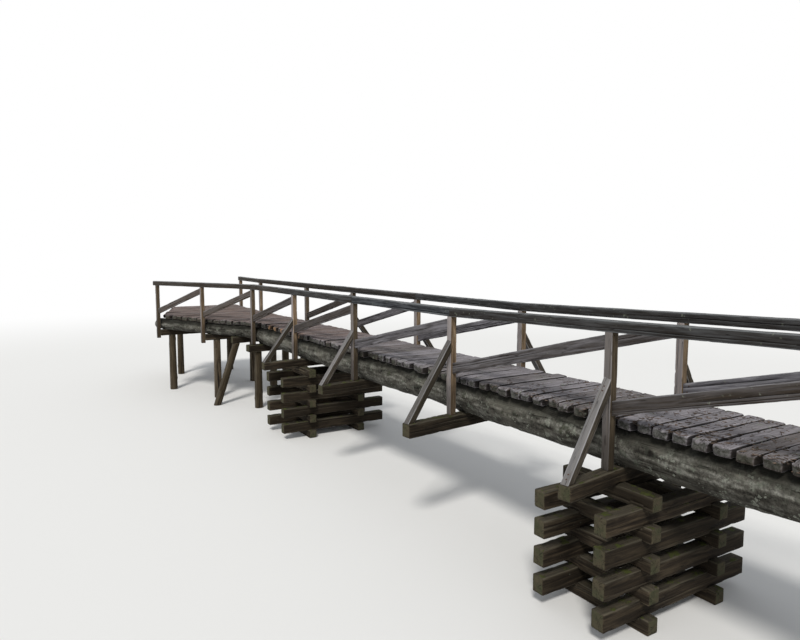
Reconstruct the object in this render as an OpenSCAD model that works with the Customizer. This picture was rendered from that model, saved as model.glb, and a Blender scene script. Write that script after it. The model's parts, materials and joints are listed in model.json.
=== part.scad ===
// Rustic log footbridge: five railed bays and a flared landing at the left end.
// X runs along the walkway to the right, Y across it to the far side and Z up from the level of
// the feet. The origin lies on that level, under the middle of the whole footprint.

/* [Span] */
// Usual distance between the posts of one bay
bay = 2600; // [2100:50:3200]
// Distance across the walkway between the two lines of posts
walk_w = 1375; // [1250:25:1700]
// Height of the walking surface over the feet of the piles and cribs
deck_h = 2050; // [1750:50:2500]

/* [Deck] */
// Width of one plank with the gap beside it
plank_pitch = 200; // [160:5:250]
// Open joint between two planks
plank_gap = 8; // [4:1:20]
// Thickness of the split planks
plank_t = 125; // [60:5:150]
// How far the plank ends may stop short
ragged_end = 28; // [0:2:40]
// How far the broken ends of the first bay may stop short
broken_end = 105; // [0:5:110]

/* [Railing] */
// Side of the square posts
post_w = 92; // [76:2:112]
// Top of the rail over the deck
rail_h = 900; // [800:25:1100]
// How much the rails climb over the last two bays
rail_rise = 120; // [0:10:150]
// Depth of the top rail
rail_d = 115; // [90:5:140]
// Width of the top rail
rail_w = 95; // [80:5:120]
// Length of rail past the last posts
rail_over = 120; // [60:10:200]
// Depth of the brace boards
brace_d = 138; // [90:2:160]
// Thickness of the brace boards
brace_t = 45; // [30:5:60]
// Gap between a brace and the underside of the rail
brace_drop = 25; // [5:5:60]
// Gap between the foot of a brace and the deck
brace_lift = 30; // [0:5:60]

/* [Logs] */
// Diameter of the two stringer logs
log_d = 430; // [340:10:520]
// How much the hewn top and a notched seat together take off the depth of a stringer
log_cut = 30; // [20:2:60]
// Diameter of the landing logs
landing_log_d = 290; // [240:10:350]
// How much the hewn top and a seat together take off the depth of a landing log
landing_cut = 12; // [8:2:30]

/* [Timbers] */
// Width of the outriggers
outrigger_w = 150; // [120:10:180]
// Depth of the outriggers
outrigger_t = 155; // [120:5:200]
// Side of the square raking struts
strut_w = 88; // [70:2:100]
// Width of the cap beams at both ends of the stringers
cap_w = 240; // [200:10:300]
// Depth of the cap beams
cap_t = 160; // [120:10:200]
// Width of the landing sills
sill_w = 160; // [120:10:200]
// Depth of the landing sills
sill_t = 155; // [120:5:200]
// Diameter of the round piles at the top
pile_d = 172; // [140:4:220]

/* [Cribs] */
// Width of the crib timbers
crib_w = 150; // [120:10:200]
// Height of one layer of crib timbers, before it is evened out
crib_layer = 155; // [120:5:200]
// Depth of the notches that lock the layers
crib_notch = 18; // [0:2:30]
// Length of the crib timbers that lie along the bridge
crib_len = 1150; // [900:50:1400]
// How far the cross timbers reach past the post lines
crib_out = 430; // [200:10:500]

/* [Landing] */
// Angle at which the near railing turns away from the span
flare_angle = 24; // [10:1:35]
// Distance between the near posts of the landing
landing_bay = 1820; // [1500:20:2200]
// Length of the landing along the bridge
landing_len = 5980; // [5400:20:6600]
// Distance between the last two far posts
far_last_bay = 2240; // [1900:20:2500]
// How far the last far post stands out from the line of the others
far_flare = 130; // [0:10:250]
// How far the outer corner of the landing lies in front of the near post line
corner_out = 570; // [300:10:800]
// How far the landing posts reach below the deck
landing_post_drop = 620; // [400:20:800]
// How far the foot of the leaning prop stands out from its head
prop_lean = 500; // [200:20:800]
// Distance from the end of the span to the first sill
first_sill = 780; // [300:20:1000]

/* [Hidden] */
main_bays = 5;
// How much each bay is longer or shorter than the usual one
bay_change = [-60, 20, 175, 20, 0];
// How far each far post stands to the left of its near post, as the outriggers lie askew
far_shift = [0, 65, 175, 175, 190, 0];
// The post lines with an outrigger, with its reach past the posts and what it is deeper than usual
outrigger_lines = [1, 2, 3, 4];
reach = [690, 680, 780, 700];
deeper = [0, 0, 25, 0];
// Height over the deck at which each strut meets its post
strut_head = [310, 330, 470, 400];
// The post lines that stand on a crib, as places in outrigger_lines
crib_lines = [0, 3];
// First and last post line of each length of top rail
rail_lengths = [[0, 2], [2, 3], [3, 5]];
butt_gap = 3;
plank_clear = 1;
notch_clear = 1.5;
// Gap between a stringer log and the line of posts beside it
log_to_post = 55;
// The landing logs start this far to the left of the first post line and end this far short
log_start = 150;
log_short = 60;
// How far the middle landing log lies off the middle of the walkway
log_off_middle = 20;
// Middle lines of the near and the far landing log, in diameters from the posts, with a gap
near_log_in = 0.54;
near_log_gap = 12;
far_log_in = 0.62;
// Natural form of a log, as shares of its radius: the butt, the taper, three waves, the swelling
log_butt = 1.035;
log_taper = 0.06;
log_waves = [0.018, 0.014, 0.016];
log_swell = 0.07;
// How many degrees each wave turns in a millimetre, and how far the number of a log shifts it
wave_turns = [0.19, 0.47, 0.13];
wave_shifts = [77, 31, 53];
// The swelling: its place past the third post line, half its length and its turn round the log,
// and a place so far off that a log has none
swell_past = 1000;
swell_reach = 480;
swell_turn = 20;
no_swelling = -9999;
// How far a log bends to the side, the turn and shift of that bend, and how far it is raised
log_bend = 22;
bend_turn = 0.055;
bend_shift = 40;
log_raise = 3;
// Rings along a log and points round it
ring_step = 260;
log_sides = 16;
// Shares of the diameter that are hewn to the level top and cut to a level seat
hewn_share = 0.035;
seat_share = 0.06;
// Half the breadth of a seat, as a share of the diameter, and its clearance at both edges
stringer_seat = 0.34;
stringer_seat_clear = 6;
landing_seat = 0.22;
flared_seat_clear = 10;
landing_seat_clear = 8;
// Length of the shoulder beside a seat, and how near to a seat or an end no ring is set
shoulder = 35;
free_of_seat = 75;
free_of_end = 20;
// Places in widths or diameters: crossings from the ends of the crib, cap beams past the posts,
// piles, legs and prop in from the edges
crib_in = 1.2;
cap_past = 1.6;
pile_in = 0.6;
leg_in = 1.6;
prop_in = 0.62;
// How much thicker a pole is at its foot, and its number of sides
pile_foot = 1.12;
pole_sides = 48;
// The open joints between planks, in plank gaps: the least, and how much wider the widest is
gap_least = 0.6;
gap_more = 0.8;
// Numbers that give each stretch of planks its own scatter
bay_seed = 17;
inner_seed = 211;
outer_seed = 307;

// Places of the posts along the near and the far line
function post_x(i) = i == 0 ? 0 : post_x(i - 1) + bay + bay_change[i - 1];
near_line = [for (i = [0 : main_bays]) post_x(i)];
far_line = near_line - far_shift;
span = near_line[main_bays];

log_bearing = log_d - log_cut;
landing_bearing = landing_log_d - landing_cut;
log_top = deck_h - plank_t;
bearing_z = log_top - log_bearing;
sill_top = log_top - landing_bearing;
sill_z = sill_top - sill_t;

// Angle at which the outrigger of a post line lies askew, and its underside
function skew(line) = atan2(far_shift[line], walk_w);
function outrigger_z(i) = bearing_z - outrigger_t - deeper[i];

// The landing in plan
turn = [cos(flare_angle), sin(flare_angle)];
x_corner_post = -2 * landing_bay * turn[0];
x_last_far = x_corner_post - far_last_bay;
near_skew = post_w / 2 * (turn[0] + turn[1]) + plank_clear;
landing_sills = [-first_sill, -landing_bay * turn[0], x_corner_post, x_last_far];

// Everything is moved so that the middle of the footprint is the origin
x_range = [-landing_len, span + rail_over];
y_range = [
    -(2 * landing_bay + rail_over) * turn[1] - rail_w / 2 * turn[0],
    walk_w + max([
        for (i = [0 : len(reach) - 1])
            let (a = skew(outrigger_lines[i])) reach[i] * cos(a) + outrigger_w / 2 * sin(a)
    ])
];
middle = [-(x_range[0] + x_range[1]) / 2, -(y_range[0] + y_range[1]) / 2, 0];

log_inset = log_d / 2 + post_w / 2 + log_to_post;

// A repeatable scatter between 0 and 1
function scatter(i) = let (v = sin(i * 127.1 + 31.7) * 437.5) v - floor(v);

// Top of the rail at a place along a line of posts: it climbs from the fourth post on
function rail_z(x, line) =
    deck_h + rail_h + max(0, x - line[3]) / (line[main_bays] - line[3]) * rail_rise;

// Near and far edge of the planks at a place along the bridge
function near_edge(x) =
    x >= 0 ? post_w / 2 + plank_clear
    : x >= x_corner_post ? near_skew / turn[0] + x * turn[1] / turn[0]
    : let (y0 = near_skew / turn[0] + x_corner_post * turn[1] / turn[0])
      y0 + (x - x_corner_post) / (-landing_len - x_corner_post) * (-corner_out - y0);
function far_edge(x) =
    walk_w - post_w / 2 - plank_clear
    + (x >= x_corner_post ? 0 : (x_corner_post - x) / far_last_bay * far_flare);

// Radius of a natural log at x along it and at an angle round it: it tapers from the butt,
// waves gently and carries a swelling, and its section is a little out of round
function log_radius(x, angle, length, d, seed, swell_x) =
    d / 2 * (log_butt - log_taper * x / length
        + log_waves[0] * sin(x * wave_turns[0] + seed * wave_shifts[0])
        + log_waves[1] * sin(x * wave_turns[1] + 2 * angle + seed * wave_shifts[1])
        + log_waves[2] * sin(3 * angle + x * wave_turns[2] + seed * wave_shifts[2])
        + log_swell * exp(-pow((x - swell_x) / swell_reach, 2))
            * (0.5 - 0.5 * sin(angle + swell_turn)));

// One point of a log: flat on top where the planks lie, and flat below over each seat
function log_point(x, angle, length, d, bearing, seed, swell_x, seats) =
    let (
        r = log_radius(x, angle, length, d, seed, swell_x),
        y = r * cos(angle) + log_bend * sin(x * bend_turn + seed * bend_shift),
        z = r * sin(angle) - bearing / 2 + log_raise,
        on_seat = len([for (s = seats) if (abs(x - s[0]) <= s[1] + 0.01) 1]) > 0
    )
    [x, y, z > -hewn_share * d ? 0
        : on_seat && z < -bearing + seat_share * d ? -bearing : z];

// Ring positions: an even row, and pairs at the edges and shoulders of every seat
function log_stations(length, step, seats) =
    let (
        n = ceil(length / step),
        row = [for (i = [0 : n]) i * length / n],
        free = [
            for (x = row)
                if (len([for (s = seats) if (abs(x - s[0]) < s[1] + free_of_seat) 1]) == 0) x
        ],
        edges = [
            for (s = seats)
                each [s[0] - s[1] - shoulder, s[0] - s[1], s[0] + s[1], s[0] + s[1] + shoulder]
        ],
        ends = [0, length],
        inner = [
            for (x = concat(free, edges))
                if (x > free_of_end && x < length - free_of_end) x
        ]
    )
    sorted(concat(ends, inner));

function sorted(a) =
    len(a) <= 1 ? a
    : let (p = a[floor(len(a) / 2)])
      concat(sorted([for (v = a) if (v < p) v]), [p], sorted([for (v = a) if (v > p) v]));

// A log along +X from the origin, its hewn top at z = 0
module natural_log(length, d, bearing, seed, seats, swell_x = no_swelling) {
    xs = log_stations(length, ring_step, seats);
    n = log_sides;
    points = [
        for (x = xs)
            for (k = [0 : n - 1])
                log_point(x, k * 360 / n, length, d, bearing, seed, swell_x, seats)
    ];
    rings = len(xs);
    sides = [
        for (i = [0 : rings - 2])
            for (k = [0 : n - 1])
                let (a = i * n + k, b = i * n + (k + 1) % n)
                each [[a, b, b + n], [a, b + n, a + n]]
    ];
    first = [for (k = [n - 1 : -1 : 0]) k];
    last = [for (k = [0 : n - 1]) (rings - 1) * n + k];
    polyhedron(points = points, faces = concat([first], sides, [last]), convexity = 4);
}

// A timber with plumb ends: its top runs from z1 at x1 to z2 at x2
module sloped_timber(x1, z1, x2, z2, depth, width, y = 0) {
    translate([0, y + width / 2, 0])
        rotate([90, 0, 0])
            linear_extrude(width)
                polygon([[x1, z1 - depth], [x2, z2 - depth], [x2, z2], [x1, z1]]);
}

module box(x, y, z) {
    translate([x[0], y[0], z[0]])
        cube([x[1] - x[0], y[1] - y[0], z[1] - z[0]]);
}

// A seat is as long as the outrigger is wide, and more where that lies askew under the log
module stringer_log(y, seed) {
    over = cap_w / 3;
    half_seat = log_d * stringer_seat;
    seats = concat(
        [for (i = outrigger_lines)
            let (a = skew(i))
            [near_line[i] - y * tan(a) + over,
             (outrigger_w / 2 + half_seat * sin(a)) / cos(a) + stringer_seat_clear]],
        [[over, cap_w / 2], [span + over, cap_w / 2]]
    );
    color("dimgray")
        translate([-over, y, log_top])
            natural_log(span + 2 * over, log_d, log_bearing, seed, seats,
                near_line[2] + swell_past);
}

module near_stringer_log() {
    stringer_log(log_inset, 1);
}

module far_stringer_log() {
    stringer_log(walk_w - log_inset, 4);
}

// The near landing log follows the flare, so its seats are wider along the log
module landing_near_log() {
    inset = post_w / 2 * (turn[0] + turn[1]) + landing_log_d * near_log_in + near_log_gap;
    length = 2 * landing_bay + 2 * rail_over - log_start;
    seats = [
        for (i = [0 : 2])
            [(-landing_sills[i] - inset * turn[1]) / turn[0] - log_start,
             sill_w / 2 / turn[0] + landing_log_d * landing_seat * turn[1] / turn[0]
                 + flared_seat_clear]
    ];
    color("darkolivegreen")
        rotate([0, 0, 180 + flare_angle])
            translate([log_start, -inset, log_top])
                natural_log(length, landing_log_d, landing_bearing, 7, seats);
}

module landing_log(y, seed) {
    seats = [for (x = landing_sills) [-x - log_start, sill_w / 2 + landing_seat_clear]];
    color("dimgray")
        translate([-log_start, y, log_top])
            mirror([1, 0, 0])
                natural_log(landing_len - log_start - log_short, landing_log_d, landing_bearing,
                    seed, seats);
}

module landing_middle_log() {
    landing_log(walk_w / 2 + log_off_middle, 3);
}

module landing_far_log() {
    landing_log(walk_w - post_w / 2 - landing_log_d * far_log_in, 9);
}

// Planks lie square to the span and stop at the edge lines
module planks(x1, x2, seed, short_near) {
    n = round((x2 - x1) / plank_pitch);
    pitch = (x2 - x1) / n;
    color("rosybrown")
        for (i = [0 : n - 1]) {
            a = x1 + i * pitch;
            b = a + pitch - plank_gap * (gap_least + gap_more * scatter(seed + i));
            short = short_near * scatter(seed + i * 2);
            over = ragged_end * scatter(seed + i * 3 + 5);
            translate([0, 0, log_top])
                linear_extrude(plank_t)
                    polygon([
                        [a, near_edge(a) + short],
                        [b, near_edge(b) + short],
                        [b, far_edge(b) - over],
                        [a, far_edge(a) - over]
                    ]);
        }
}

module deck_bay(i) {
    planks(near_line[i - 1], near_line[i] + (i == main_bays ? rail_over / 2 : 0), bay_seed * i,
        i == 1 ? broken_end : ragged_end);
}

module landing_deck_inner() {
    planks(landing_sills[1], 0, inner_seed, ragged_end);
}

module landing_deck_outer() {
    planks(-landing_len, landing_sills[1], outer_seed, ragged_end);
}

// An outrigger joins a near post to its far post and reaches past both
module outrigger(i) {
    line = outrigger_lines[i];
    color("saddlebrown")
        translate([near_line[line], 0, 0])
            rotate([0, 0, skew(line)])
                box([-outrigger_w / 2, outrigger_w / 2],
                    [-reach[i], norm([walk_w, far_shift[line]]) + reach[i]],
                    [outrigger_z(i), bearing_z]);
}

// A raking strut beside a post at the origin: it stands on the outer end of the outrigger
// and its head is cut to the outer face of the post
module strut(i) {
    foot = -reach[i];
    face = -post_w / 2;
    rise = deck_h + strut_head[i] - bearing_z;
    run = face - foot;
    slope = rise / run;
    side = strut_w * norm([rise, run]);
    past = face + post_w;
    intersection() {
        rotate([0, 0, skew(outrigger_lines[i])])
            translate([-strut_w / 2, 0, bearing_z])
                rotate([90, 0, 90])
                    linear_extrude(strut_w)
                        polygon([
                            [foot, 0],
                            [foot + side / rise, 0],
                            [past, (past - foot) * slope - side / run],
                            [past, (past - foot) * slope]
                        ]);
        box([-reach[i], reach[i]], [foot - post_w, face],
            [bearing_z, bearing_z + (past - foot) * slope]);
    }
}

module near_struts() {
    color("dimgray")
        for (i = [0 : len(reach) - 1])
            translate([near_line[outrigger_lines[i]], 0, 0])
                strut(i);
}

module far_struts() {
    color("dimgray")
        for (i = [0 : len(reach) - 1])
            translate([far_line[outrigger_lines[i]], walk_w, 0])
                rotate([0, 0, 180])
                    strut(i);
}

// A post from its foot to the underside of the rail, whose slope its top follows
module post(x, y, foot, line) {
    tops = [for (dx = [-post_w / 2, 0, post_w / 2]) [x + dx, rail_z(x + dx, line) - rail_d]];
    color("tan")
        translate([0, y + post_w / 2, 0])
            rotate([90, 0, 0])
                linear_extrude(post_w)
                    polygon([
                        [x - post_w / 2, foot],
                        [x + post_w / 2, foot],
                        tops[2],
                        tops[1],
                        tops[0]
                    ]);
}

module near_post(i) {
    if (i < 3)
        post(-(3 - i) * landing_bay * turn[0], -(3 - i) * landing_bay * turn[1],
            deck_h - landing_post_drop, near_line);
    else
        post(near_line[i - 3], 0, bearing_z, near_line);
}

module far_post(i) {
    if (i == 1)
        post(x_last_far, walk_w + far_flare, deck_h - landing_post_drop, far_line);
    else if (i == 2)
        post(x_corner_post, walk_w, deck_h - landing_post_drop, far_line);
    else
        post(far_line[i - 3], walk_w, bearing_z, far_line);
}

// The lengths of rail over the main span butt together on the posts
module main_rails(line, y) {
    for (r = rail_lengths) {
        x1 = line[r[0]] + butt_gap / 2;
        x2 = line[r[1]] + (r[1] == main_bays ? rail_over : -butt_gap / 2);
        sloped_timber(x1, rail_z(x1, line), x2, rail_z(x2, line), rail_d, rail_w, y);
    }
}

module near_top_rail() {
    top = deck_h + rail_h;
    color("slategray") {
        main_rails(near_line, 0);
        intersection() {
            rotate([0, 0, flare_angle])
                box([-2 * landing_bay - rail_over, rail_w], [-rail_w / 2, rail_w / 2],
                    [top - rail_d, top]);
            box([-landing_len, -butt_gap / 2], [y_range[0] - 1, rail_w], [top - rail_d, top]);
        }
    }
}

module far_top_rail() {
    top = deck_h + rail_h;
    side = [far_last_bay, far_flare];
    color("slategray") {
        main_rails(far_line, walk_w);
        box([x_corner_post + butt_gap / 2, -butt_gap / 2],
            [walk_w - rail_w / 2, walk_w + rail_w / 2], [top - rail_d, top]);
        intersection() {
            translate([x_corner_post, walk_w, 0])
                rotate([0, 0, -atan2(side[1], side[0])])
                    box([-norm(side) - rail_over, rail_w], [-rail_w / 2, rail_w / 2],
                        [top - rail_d, top]);
            box([-landing_len, x_corner_post - butt_gap / 2], [0, walk_w + 2 * far_flare + rail_w],
                [top - rail_d, top]);
        }
    }
}

// A brace board fits between two posts: it rises from the deck at the left one
// to just under the rail at the right one
module brace(i, line, y) {
    a = line[i] + post_w / 2;
    b = line[i + 1] - post_w / 2;
    foot = deck_h + brace_lift;
    top = rail_z(b, line) - rail_d - brace_drop;
    depth = brace_plumb(b - a, top - foot);
    sloped_timber(a, foot + depth, b, top, depth, brace_t, y);
}

// Plumb depth of a brace board of depth brace_d that rises inside a run
function brace_plumb(run, rise, i = 4) =
    i == 0 ? brace_d
    : let (p = brace_plumb(run, rise, i - 1)) brace_d * norm([run, rise - p]) / run;

module landing_brace(i) {
    x = [-(i + 1) * landing_bay, -i * landing_bay];
    foot = deck_h + brace_lift;
    top = deck_h + rail_h - rail_d - brace_drop;
    run = landing_bay - post_w / turn[0];
    depth = brace_plumb(run, top - foot);
    slope = (top - depth - foot) / run;
    past = post_w;
    a = x[0] + post_w / 2 / turn[0];
    b = x[1] - post_w / 2 / turn[0];
    intersection() {
        rotate([0, 0, flare_angle])
            sloped_timber(a - past, foot + depth - past * slope, b + past, top + past * slope,
                depth, brace_t);
        box([x[0] * turn[0] + post_w / 2, x[1] * turn[0] - post_w / 2],
            [y_range[0], post_w], [foot, top]);
    }
}

module near_braces() {
    color("rosybrown") {
        for (i = [0 : main_bays - 1])
            brace(i, near_line, 0);
        for (i = [0 : 1])
            landing_brace(i);
    }
}

module far_braces() {
    color("rosybrown")
        for (i = [0 : main_bays - 1])
            brace(i, far_line, walk_w);
}

// A crib under an outrigger: layers of notched timbers, an odd number of them
function crib_layers(i) = 2 * round((outrigger_z(i) / crib_layer - 1) / 2) + 1;
function crib_pitch(i) = outrigger_z(i) / crib_layers(i);
function crib_middle(i) =
    (near_line[outrigger_lines[i]] + far_line[outrigger_lines[i]]) / 2;
crib_y = [crib_w, walk_w - crib_w];
crib_x = crib_len / 2 - crib_w * crib_in;

module crib_long(i) {
    x = crib_middle(i);
    pitch = crib_pitch(i);
    color("peru")
        for (k = [0 : 2 : crib_layers(i) - 1], y = crib_y)
            difference() {
                box([x - crib_len / 2, x + crib_len / 2], [y - crib_w / 2, y + crib_w / 2],
                    [k * pitch, (k + 1) * pitch]);
                for (dx = [-crib_x, crib_x], j = [k - 1, k + 1])
                    if (j > 0 && j < crib_layers(i))
                        box([x + dx - crib_w / 2 - notch_clear, x + dx + crib_w / 2 + notch_clear],
                            [y - crib_w, y + crib_w],
                            [j * pitch - crib_notch, (j + 1) * pitch + crib_notch]);
            }
}

module crib_cross(i) {
    x = crib_middle(i);
    pitch = crib_pitch(i);
    color("sienna")
        for (k = [1 : 2 : crib_layers(i) - 2], dx = [-crib_x, crib_x])
            box([x + dx - crib_w / 2, x + dx + crib_w / 2], [-crib_out, walk_w + crib_out],
                [k * pitch - crib_notch, (k + 1) * pitch + crib_notch]);
}

module left_crib_long_timbers() {
    crib_long(crib_lines[0]);
}

module left_crib_cross_timbers() {
    crib_cross(crib_lines[0]);
}

module right_crib_long_timbers() {
    crib_long(crib_lines[1]);
}

module right_crib_cross_timbers() {
    crib_cross(crib_lines[1]);
}

module cap_beams() {
    color("saddlebrown")
        for (x = [0, span])
            box([x - cap_w / 2, x + cap_w / 2], [-cap_past * post_w, walk_w + cap_past * post_w],
                [bearing_z - cap_t, bearing_z]);
}

// A round pole that thickens a little towards its foot
module pole(x, y, height) {
    translate([x, y, 0])
        cylinder(h = height, d1 = pile_d * pile_foot, d2 = pile_d, $fn = pole_sides);
}

module bridge_piles() {
    color("burlywood")
        for (x = [0, span], y = [pile_d * pile_in, walk_w - pile_d * pile_in])
            pole(x, y, bearing_z - cap_t);
}

// Both ends of a sill meet the posts where there are any, and the edges of the planks elsewhere
module landing_sill_beams() {
    near = [
        near_edge(landing_sills[0]),
        -landing_bay * turn[1] + post_w / 2,
        -2 * landing_bay * turn[1] + post_w / 2,
        near_edge(landing_sills[3])
    ];
    far = [walk_w, walk_w, walk_w - post_w / 2, walk_w + far_flare - post_w / 2];
    color("saddlebrown")
        for (i = [0 : 3])
            box([landing_sills[i] - sill_w / 2, landing_sills[i] + sill_w / 2],
                [near[i], far[i]], [sill_z, sill_top]);
}

module landing_legs() {
    color("burlywood") {
        for (i = [1 : 3])
            pole(landing_sills[i], near_edge(landing_sills[i]) + leg_in * pile_d, sill_z);
        for (x = landing_sills)
            pole(x, walk_w - leg_in * pile_d, sill_z);
    }
}

// The prop leans outwards and carries the near end of the first sill
module leaning_prop() {
    head = [landing_sills[0], near_edge(landing_sills[0]) + pile_d * prop_in];
    lean = atan2(prop_lean, sill_z);
    color("burlywood")
        intersection() {
            translate([head[0], head[1], sill_z])
                rotate([180 - lean, 0, 0])
                    translate([0, 0, -pile_d])
                        cylinder(h = sill_z / cos(lean) + 2 * pile_d, d = pile_d,
                            $fn = pole_sides);
            box([head[0] - pile_d, head[0] + pile_d], [head[1] - prop_lean - 2 * pile_d,
                head[1] + 2 * pile_d], [0, sill_z]);
        }
}

translate(middle) {
    near_stringer_log();
    far_stringer_log();
    landing_near_log();
    landing_middle_log();
    landing_far_log();
    landing_deck_inner();
    landing_deck_outer();
    for (i = [1 : main_bays])
        deck_bay(i);
    for (i = [1 : len(reach)])
        outrigger(i - 1);
    for (i = [1 : 8]) {
        near_post(i);
        far_post(i);
    }
    near_struts();
    far_struts();
    near_top_rail();
    far_top_rail();
    near_braces();
    far_braces();
    left_crib_long_timbers();
    left_crib_cross_timbers();
    right_crib_long_timbers();
    right_crib_cross_timbers();
    cap_beams();
    bridge_piles();
    landing_sill_beams();
    landing_legs();
    leaning_prop();
}
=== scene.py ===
# %% [markdown]
# # A rustic log footbridge
#
# Two natural logs carry thick split planks. Posts, rails and brace boards stand on squared cross
# timbers that reach out past the deck, and raking struts hold the posts upright.
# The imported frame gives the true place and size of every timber. This lesson dresses each one in
# the surface that split, hewn and weathered wood really has, and it never moves a timber.

# %% Load the frame and keep its box
import json
import bpy
import numpy as np
from mathutils import Matrix, Vector

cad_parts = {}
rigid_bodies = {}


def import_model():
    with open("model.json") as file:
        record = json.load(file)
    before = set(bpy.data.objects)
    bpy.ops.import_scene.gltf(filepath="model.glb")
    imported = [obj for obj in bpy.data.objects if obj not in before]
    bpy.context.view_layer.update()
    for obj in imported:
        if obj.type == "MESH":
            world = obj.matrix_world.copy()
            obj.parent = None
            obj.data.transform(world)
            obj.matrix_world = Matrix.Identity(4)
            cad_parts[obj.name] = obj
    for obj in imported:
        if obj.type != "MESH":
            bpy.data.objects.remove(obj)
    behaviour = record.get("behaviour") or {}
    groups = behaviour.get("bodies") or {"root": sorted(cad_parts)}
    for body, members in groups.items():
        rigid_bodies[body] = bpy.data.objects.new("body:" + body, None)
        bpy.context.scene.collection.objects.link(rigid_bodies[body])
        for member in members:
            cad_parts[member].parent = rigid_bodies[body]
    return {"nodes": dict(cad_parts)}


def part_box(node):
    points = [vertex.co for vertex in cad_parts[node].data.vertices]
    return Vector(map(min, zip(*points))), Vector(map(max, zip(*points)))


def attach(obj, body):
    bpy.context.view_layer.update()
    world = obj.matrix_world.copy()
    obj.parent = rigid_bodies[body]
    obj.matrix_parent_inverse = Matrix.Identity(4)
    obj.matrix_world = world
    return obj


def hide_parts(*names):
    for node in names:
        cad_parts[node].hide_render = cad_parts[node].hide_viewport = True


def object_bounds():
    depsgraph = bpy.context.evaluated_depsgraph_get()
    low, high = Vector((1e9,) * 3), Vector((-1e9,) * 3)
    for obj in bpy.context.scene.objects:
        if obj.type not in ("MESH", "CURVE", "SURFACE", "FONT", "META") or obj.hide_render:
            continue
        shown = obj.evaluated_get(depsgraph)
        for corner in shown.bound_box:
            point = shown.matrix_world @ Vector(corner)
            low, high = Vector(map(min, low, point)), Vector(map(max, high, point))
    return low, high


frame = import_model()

cad_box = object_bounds()
print("frame:", len(frame["nodes"]), "nodes, box", [tuple(round(v, 3) for v in c) for c in cad_box])

# %% [markdown]
# ## The camera
#
# The photograph was taken from the right-hand side, about eye height over the deck, with a
# moderately wide lens. The viewing direction was found from the vanishing point of the rails and
# from the places of the posts. It would also be possible to aim a camera at an empty, but a
# rotation made of three unit vectors is exact and easy to read.

# %% Camera
CAMERA_PLACE = (11.1634, -5.3050, 3.6333)
CAMERA_TURN = np.radians(31.501)
CAMERA_PITCH = np.radians(5.697)
LENS, SENSOR = 29.25, 36


def show(name, data):
    """Puts a camera, a light or a mesh into the scene as an object."""
    thing = bpy.data.objects.new(name, data)
    bpy.context.scene.collection.objects.link(thing)
    return thing


def add_camera(place, turn, pitch):
    """Looks along (-cos turn, sin turn) in plan and pitch below the horizon: the columns of its
    rotation are the right, the upward and the backward direction."""
    flat = np.array([-np.cos(turn), np.sin(turn), 0.0])
    ahead = flat * np.cos(pitch) - np.array([0, 0, np.sin(pitch)])
    right = np.array([flat[1], -flat[0], 0.0])
    matrix = np.eye(4)
    matrix[:3] = np.stack([right, np.cross(right, ahead), -ahead, place], 1)
    data = bpy.data.cameras.new("camera")
    data.sensor_width, data.lens = SENSOR, LENS
    camera = show("camera", data)
    camera.matrix_world = Matrix(matrix.tolist())
    bpy.context.scene.camera = camera


add_camera(CAMERA_PLACE, CAMERA_TURN, CAMERA_PITCH)
print("camera at", CAMERA_PLACE, "lens", LENS, "mm")

# %% [markdown]
# ## Helpers for shaders
#
# A material is a small program drawn as boxes and wires. Here a wire is a small Python object:
# adding or multiplying two of them adds the Math box that does it, so a formula reads as it would
# on paper. Blender's own calls would take three lines for every step.

# %% Shader helpers
class Wire:
    """The output of a shader box. Sums, differences, products and quotients of wires add the
    boxes that work them out."""

    def __init__(self, socket):
        self.socket, self.tree = socket, socket.id_data

    def of(self, key):
        """Another output of the same box."""
        return Wire(self.socket.node.outputs[key])

    def __abs__(self):
        return calc("ABSOLUTE", self)


def box(tree, kind, feeds=None, **settings):
    """Adds a shader box whose inputs get plain values or wires, and gives its first output."""
    node = tree.nodes.new("ShaderNode" + kind)
    for name, value in settings.items():
        setattr(node, name, value)
    for key, value in (feeds or {}).items():
        if isinstance(value, Wire):
            tree.links.new(value.socket, node.inputs[key])
        else:
            node.inputs[key].default_value = value
    return Wire(node.outputs[0]) if node.outputs else None


def calc(operation, *values):
    """One step of arithmetic: a Math box, or Vector Math where a place or a colour takes part."""
    wires = [v for v in values if isinstance(v, Wire)]
    vector = tuple in map(type, values) or any(w.socket.type != "VALUE" for w in wires)
    if vector:
        values = [(v,) * 3 if isinstance(v, (int, float)) else v for v in values]
    return box(wires[0].tree, "VectorMath" if vector else "Math", dict(enumerate(values)),
               operation=operation)


for sign, operation in (("add", "ADD"), ("sub", "SUBTRACT"), ("mul", "MULTIPLY"),
                        ("truediv", "DIVIDE")):
    setattr(Wire, "__%s__" % sign, lambda a, b, o=operation: calc(o, a, b))
    setattr(Wire, "__r%s__" % sign, lambda a, b, o=operation: calc(o, b, a))


def larger(first, second):
    return calc("MAXIMUM", first, second)


def held(value):
    """The value, kept between 0 and 1."""
    return box(value.tree, "Clamp", {0: value})


def three(vector):
    """The three numbers of a place, a direction or a mark."""
    first = box(vector.tree, "SeparateXYZ", {0: vector})
    return [first.of(k) for k in range(3)]


def cloud(place, scale=1.0, detail=2.0, roughness=0.5):
    """Soft noise around one half."""
    return box(place.tree, "TexNoise", {"Vector": place, "Scale": scale, "Detail": detail,
                                        "Roughness": roughness})


def rise(value, low, high):
    """0 below low, 1 above high and a smooth rise between them."""
    return box(value.tree, "MapRange", {0: value, 1: low, 2: high},
               interpolation_type="SMOOTHSTEP")


def tint(colour):
    """Red, green and blue as a screen shows them, 0 to 255, as the linear values of a shader."""
    c = np.array(colour) / 255
    c = np.where(c <= 0.04045, c / 12.92, ((c + 0.055) / 1.055) ** 2.4)
    return (*[round(float(v), 5) for v in c], 1.0)


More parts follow.
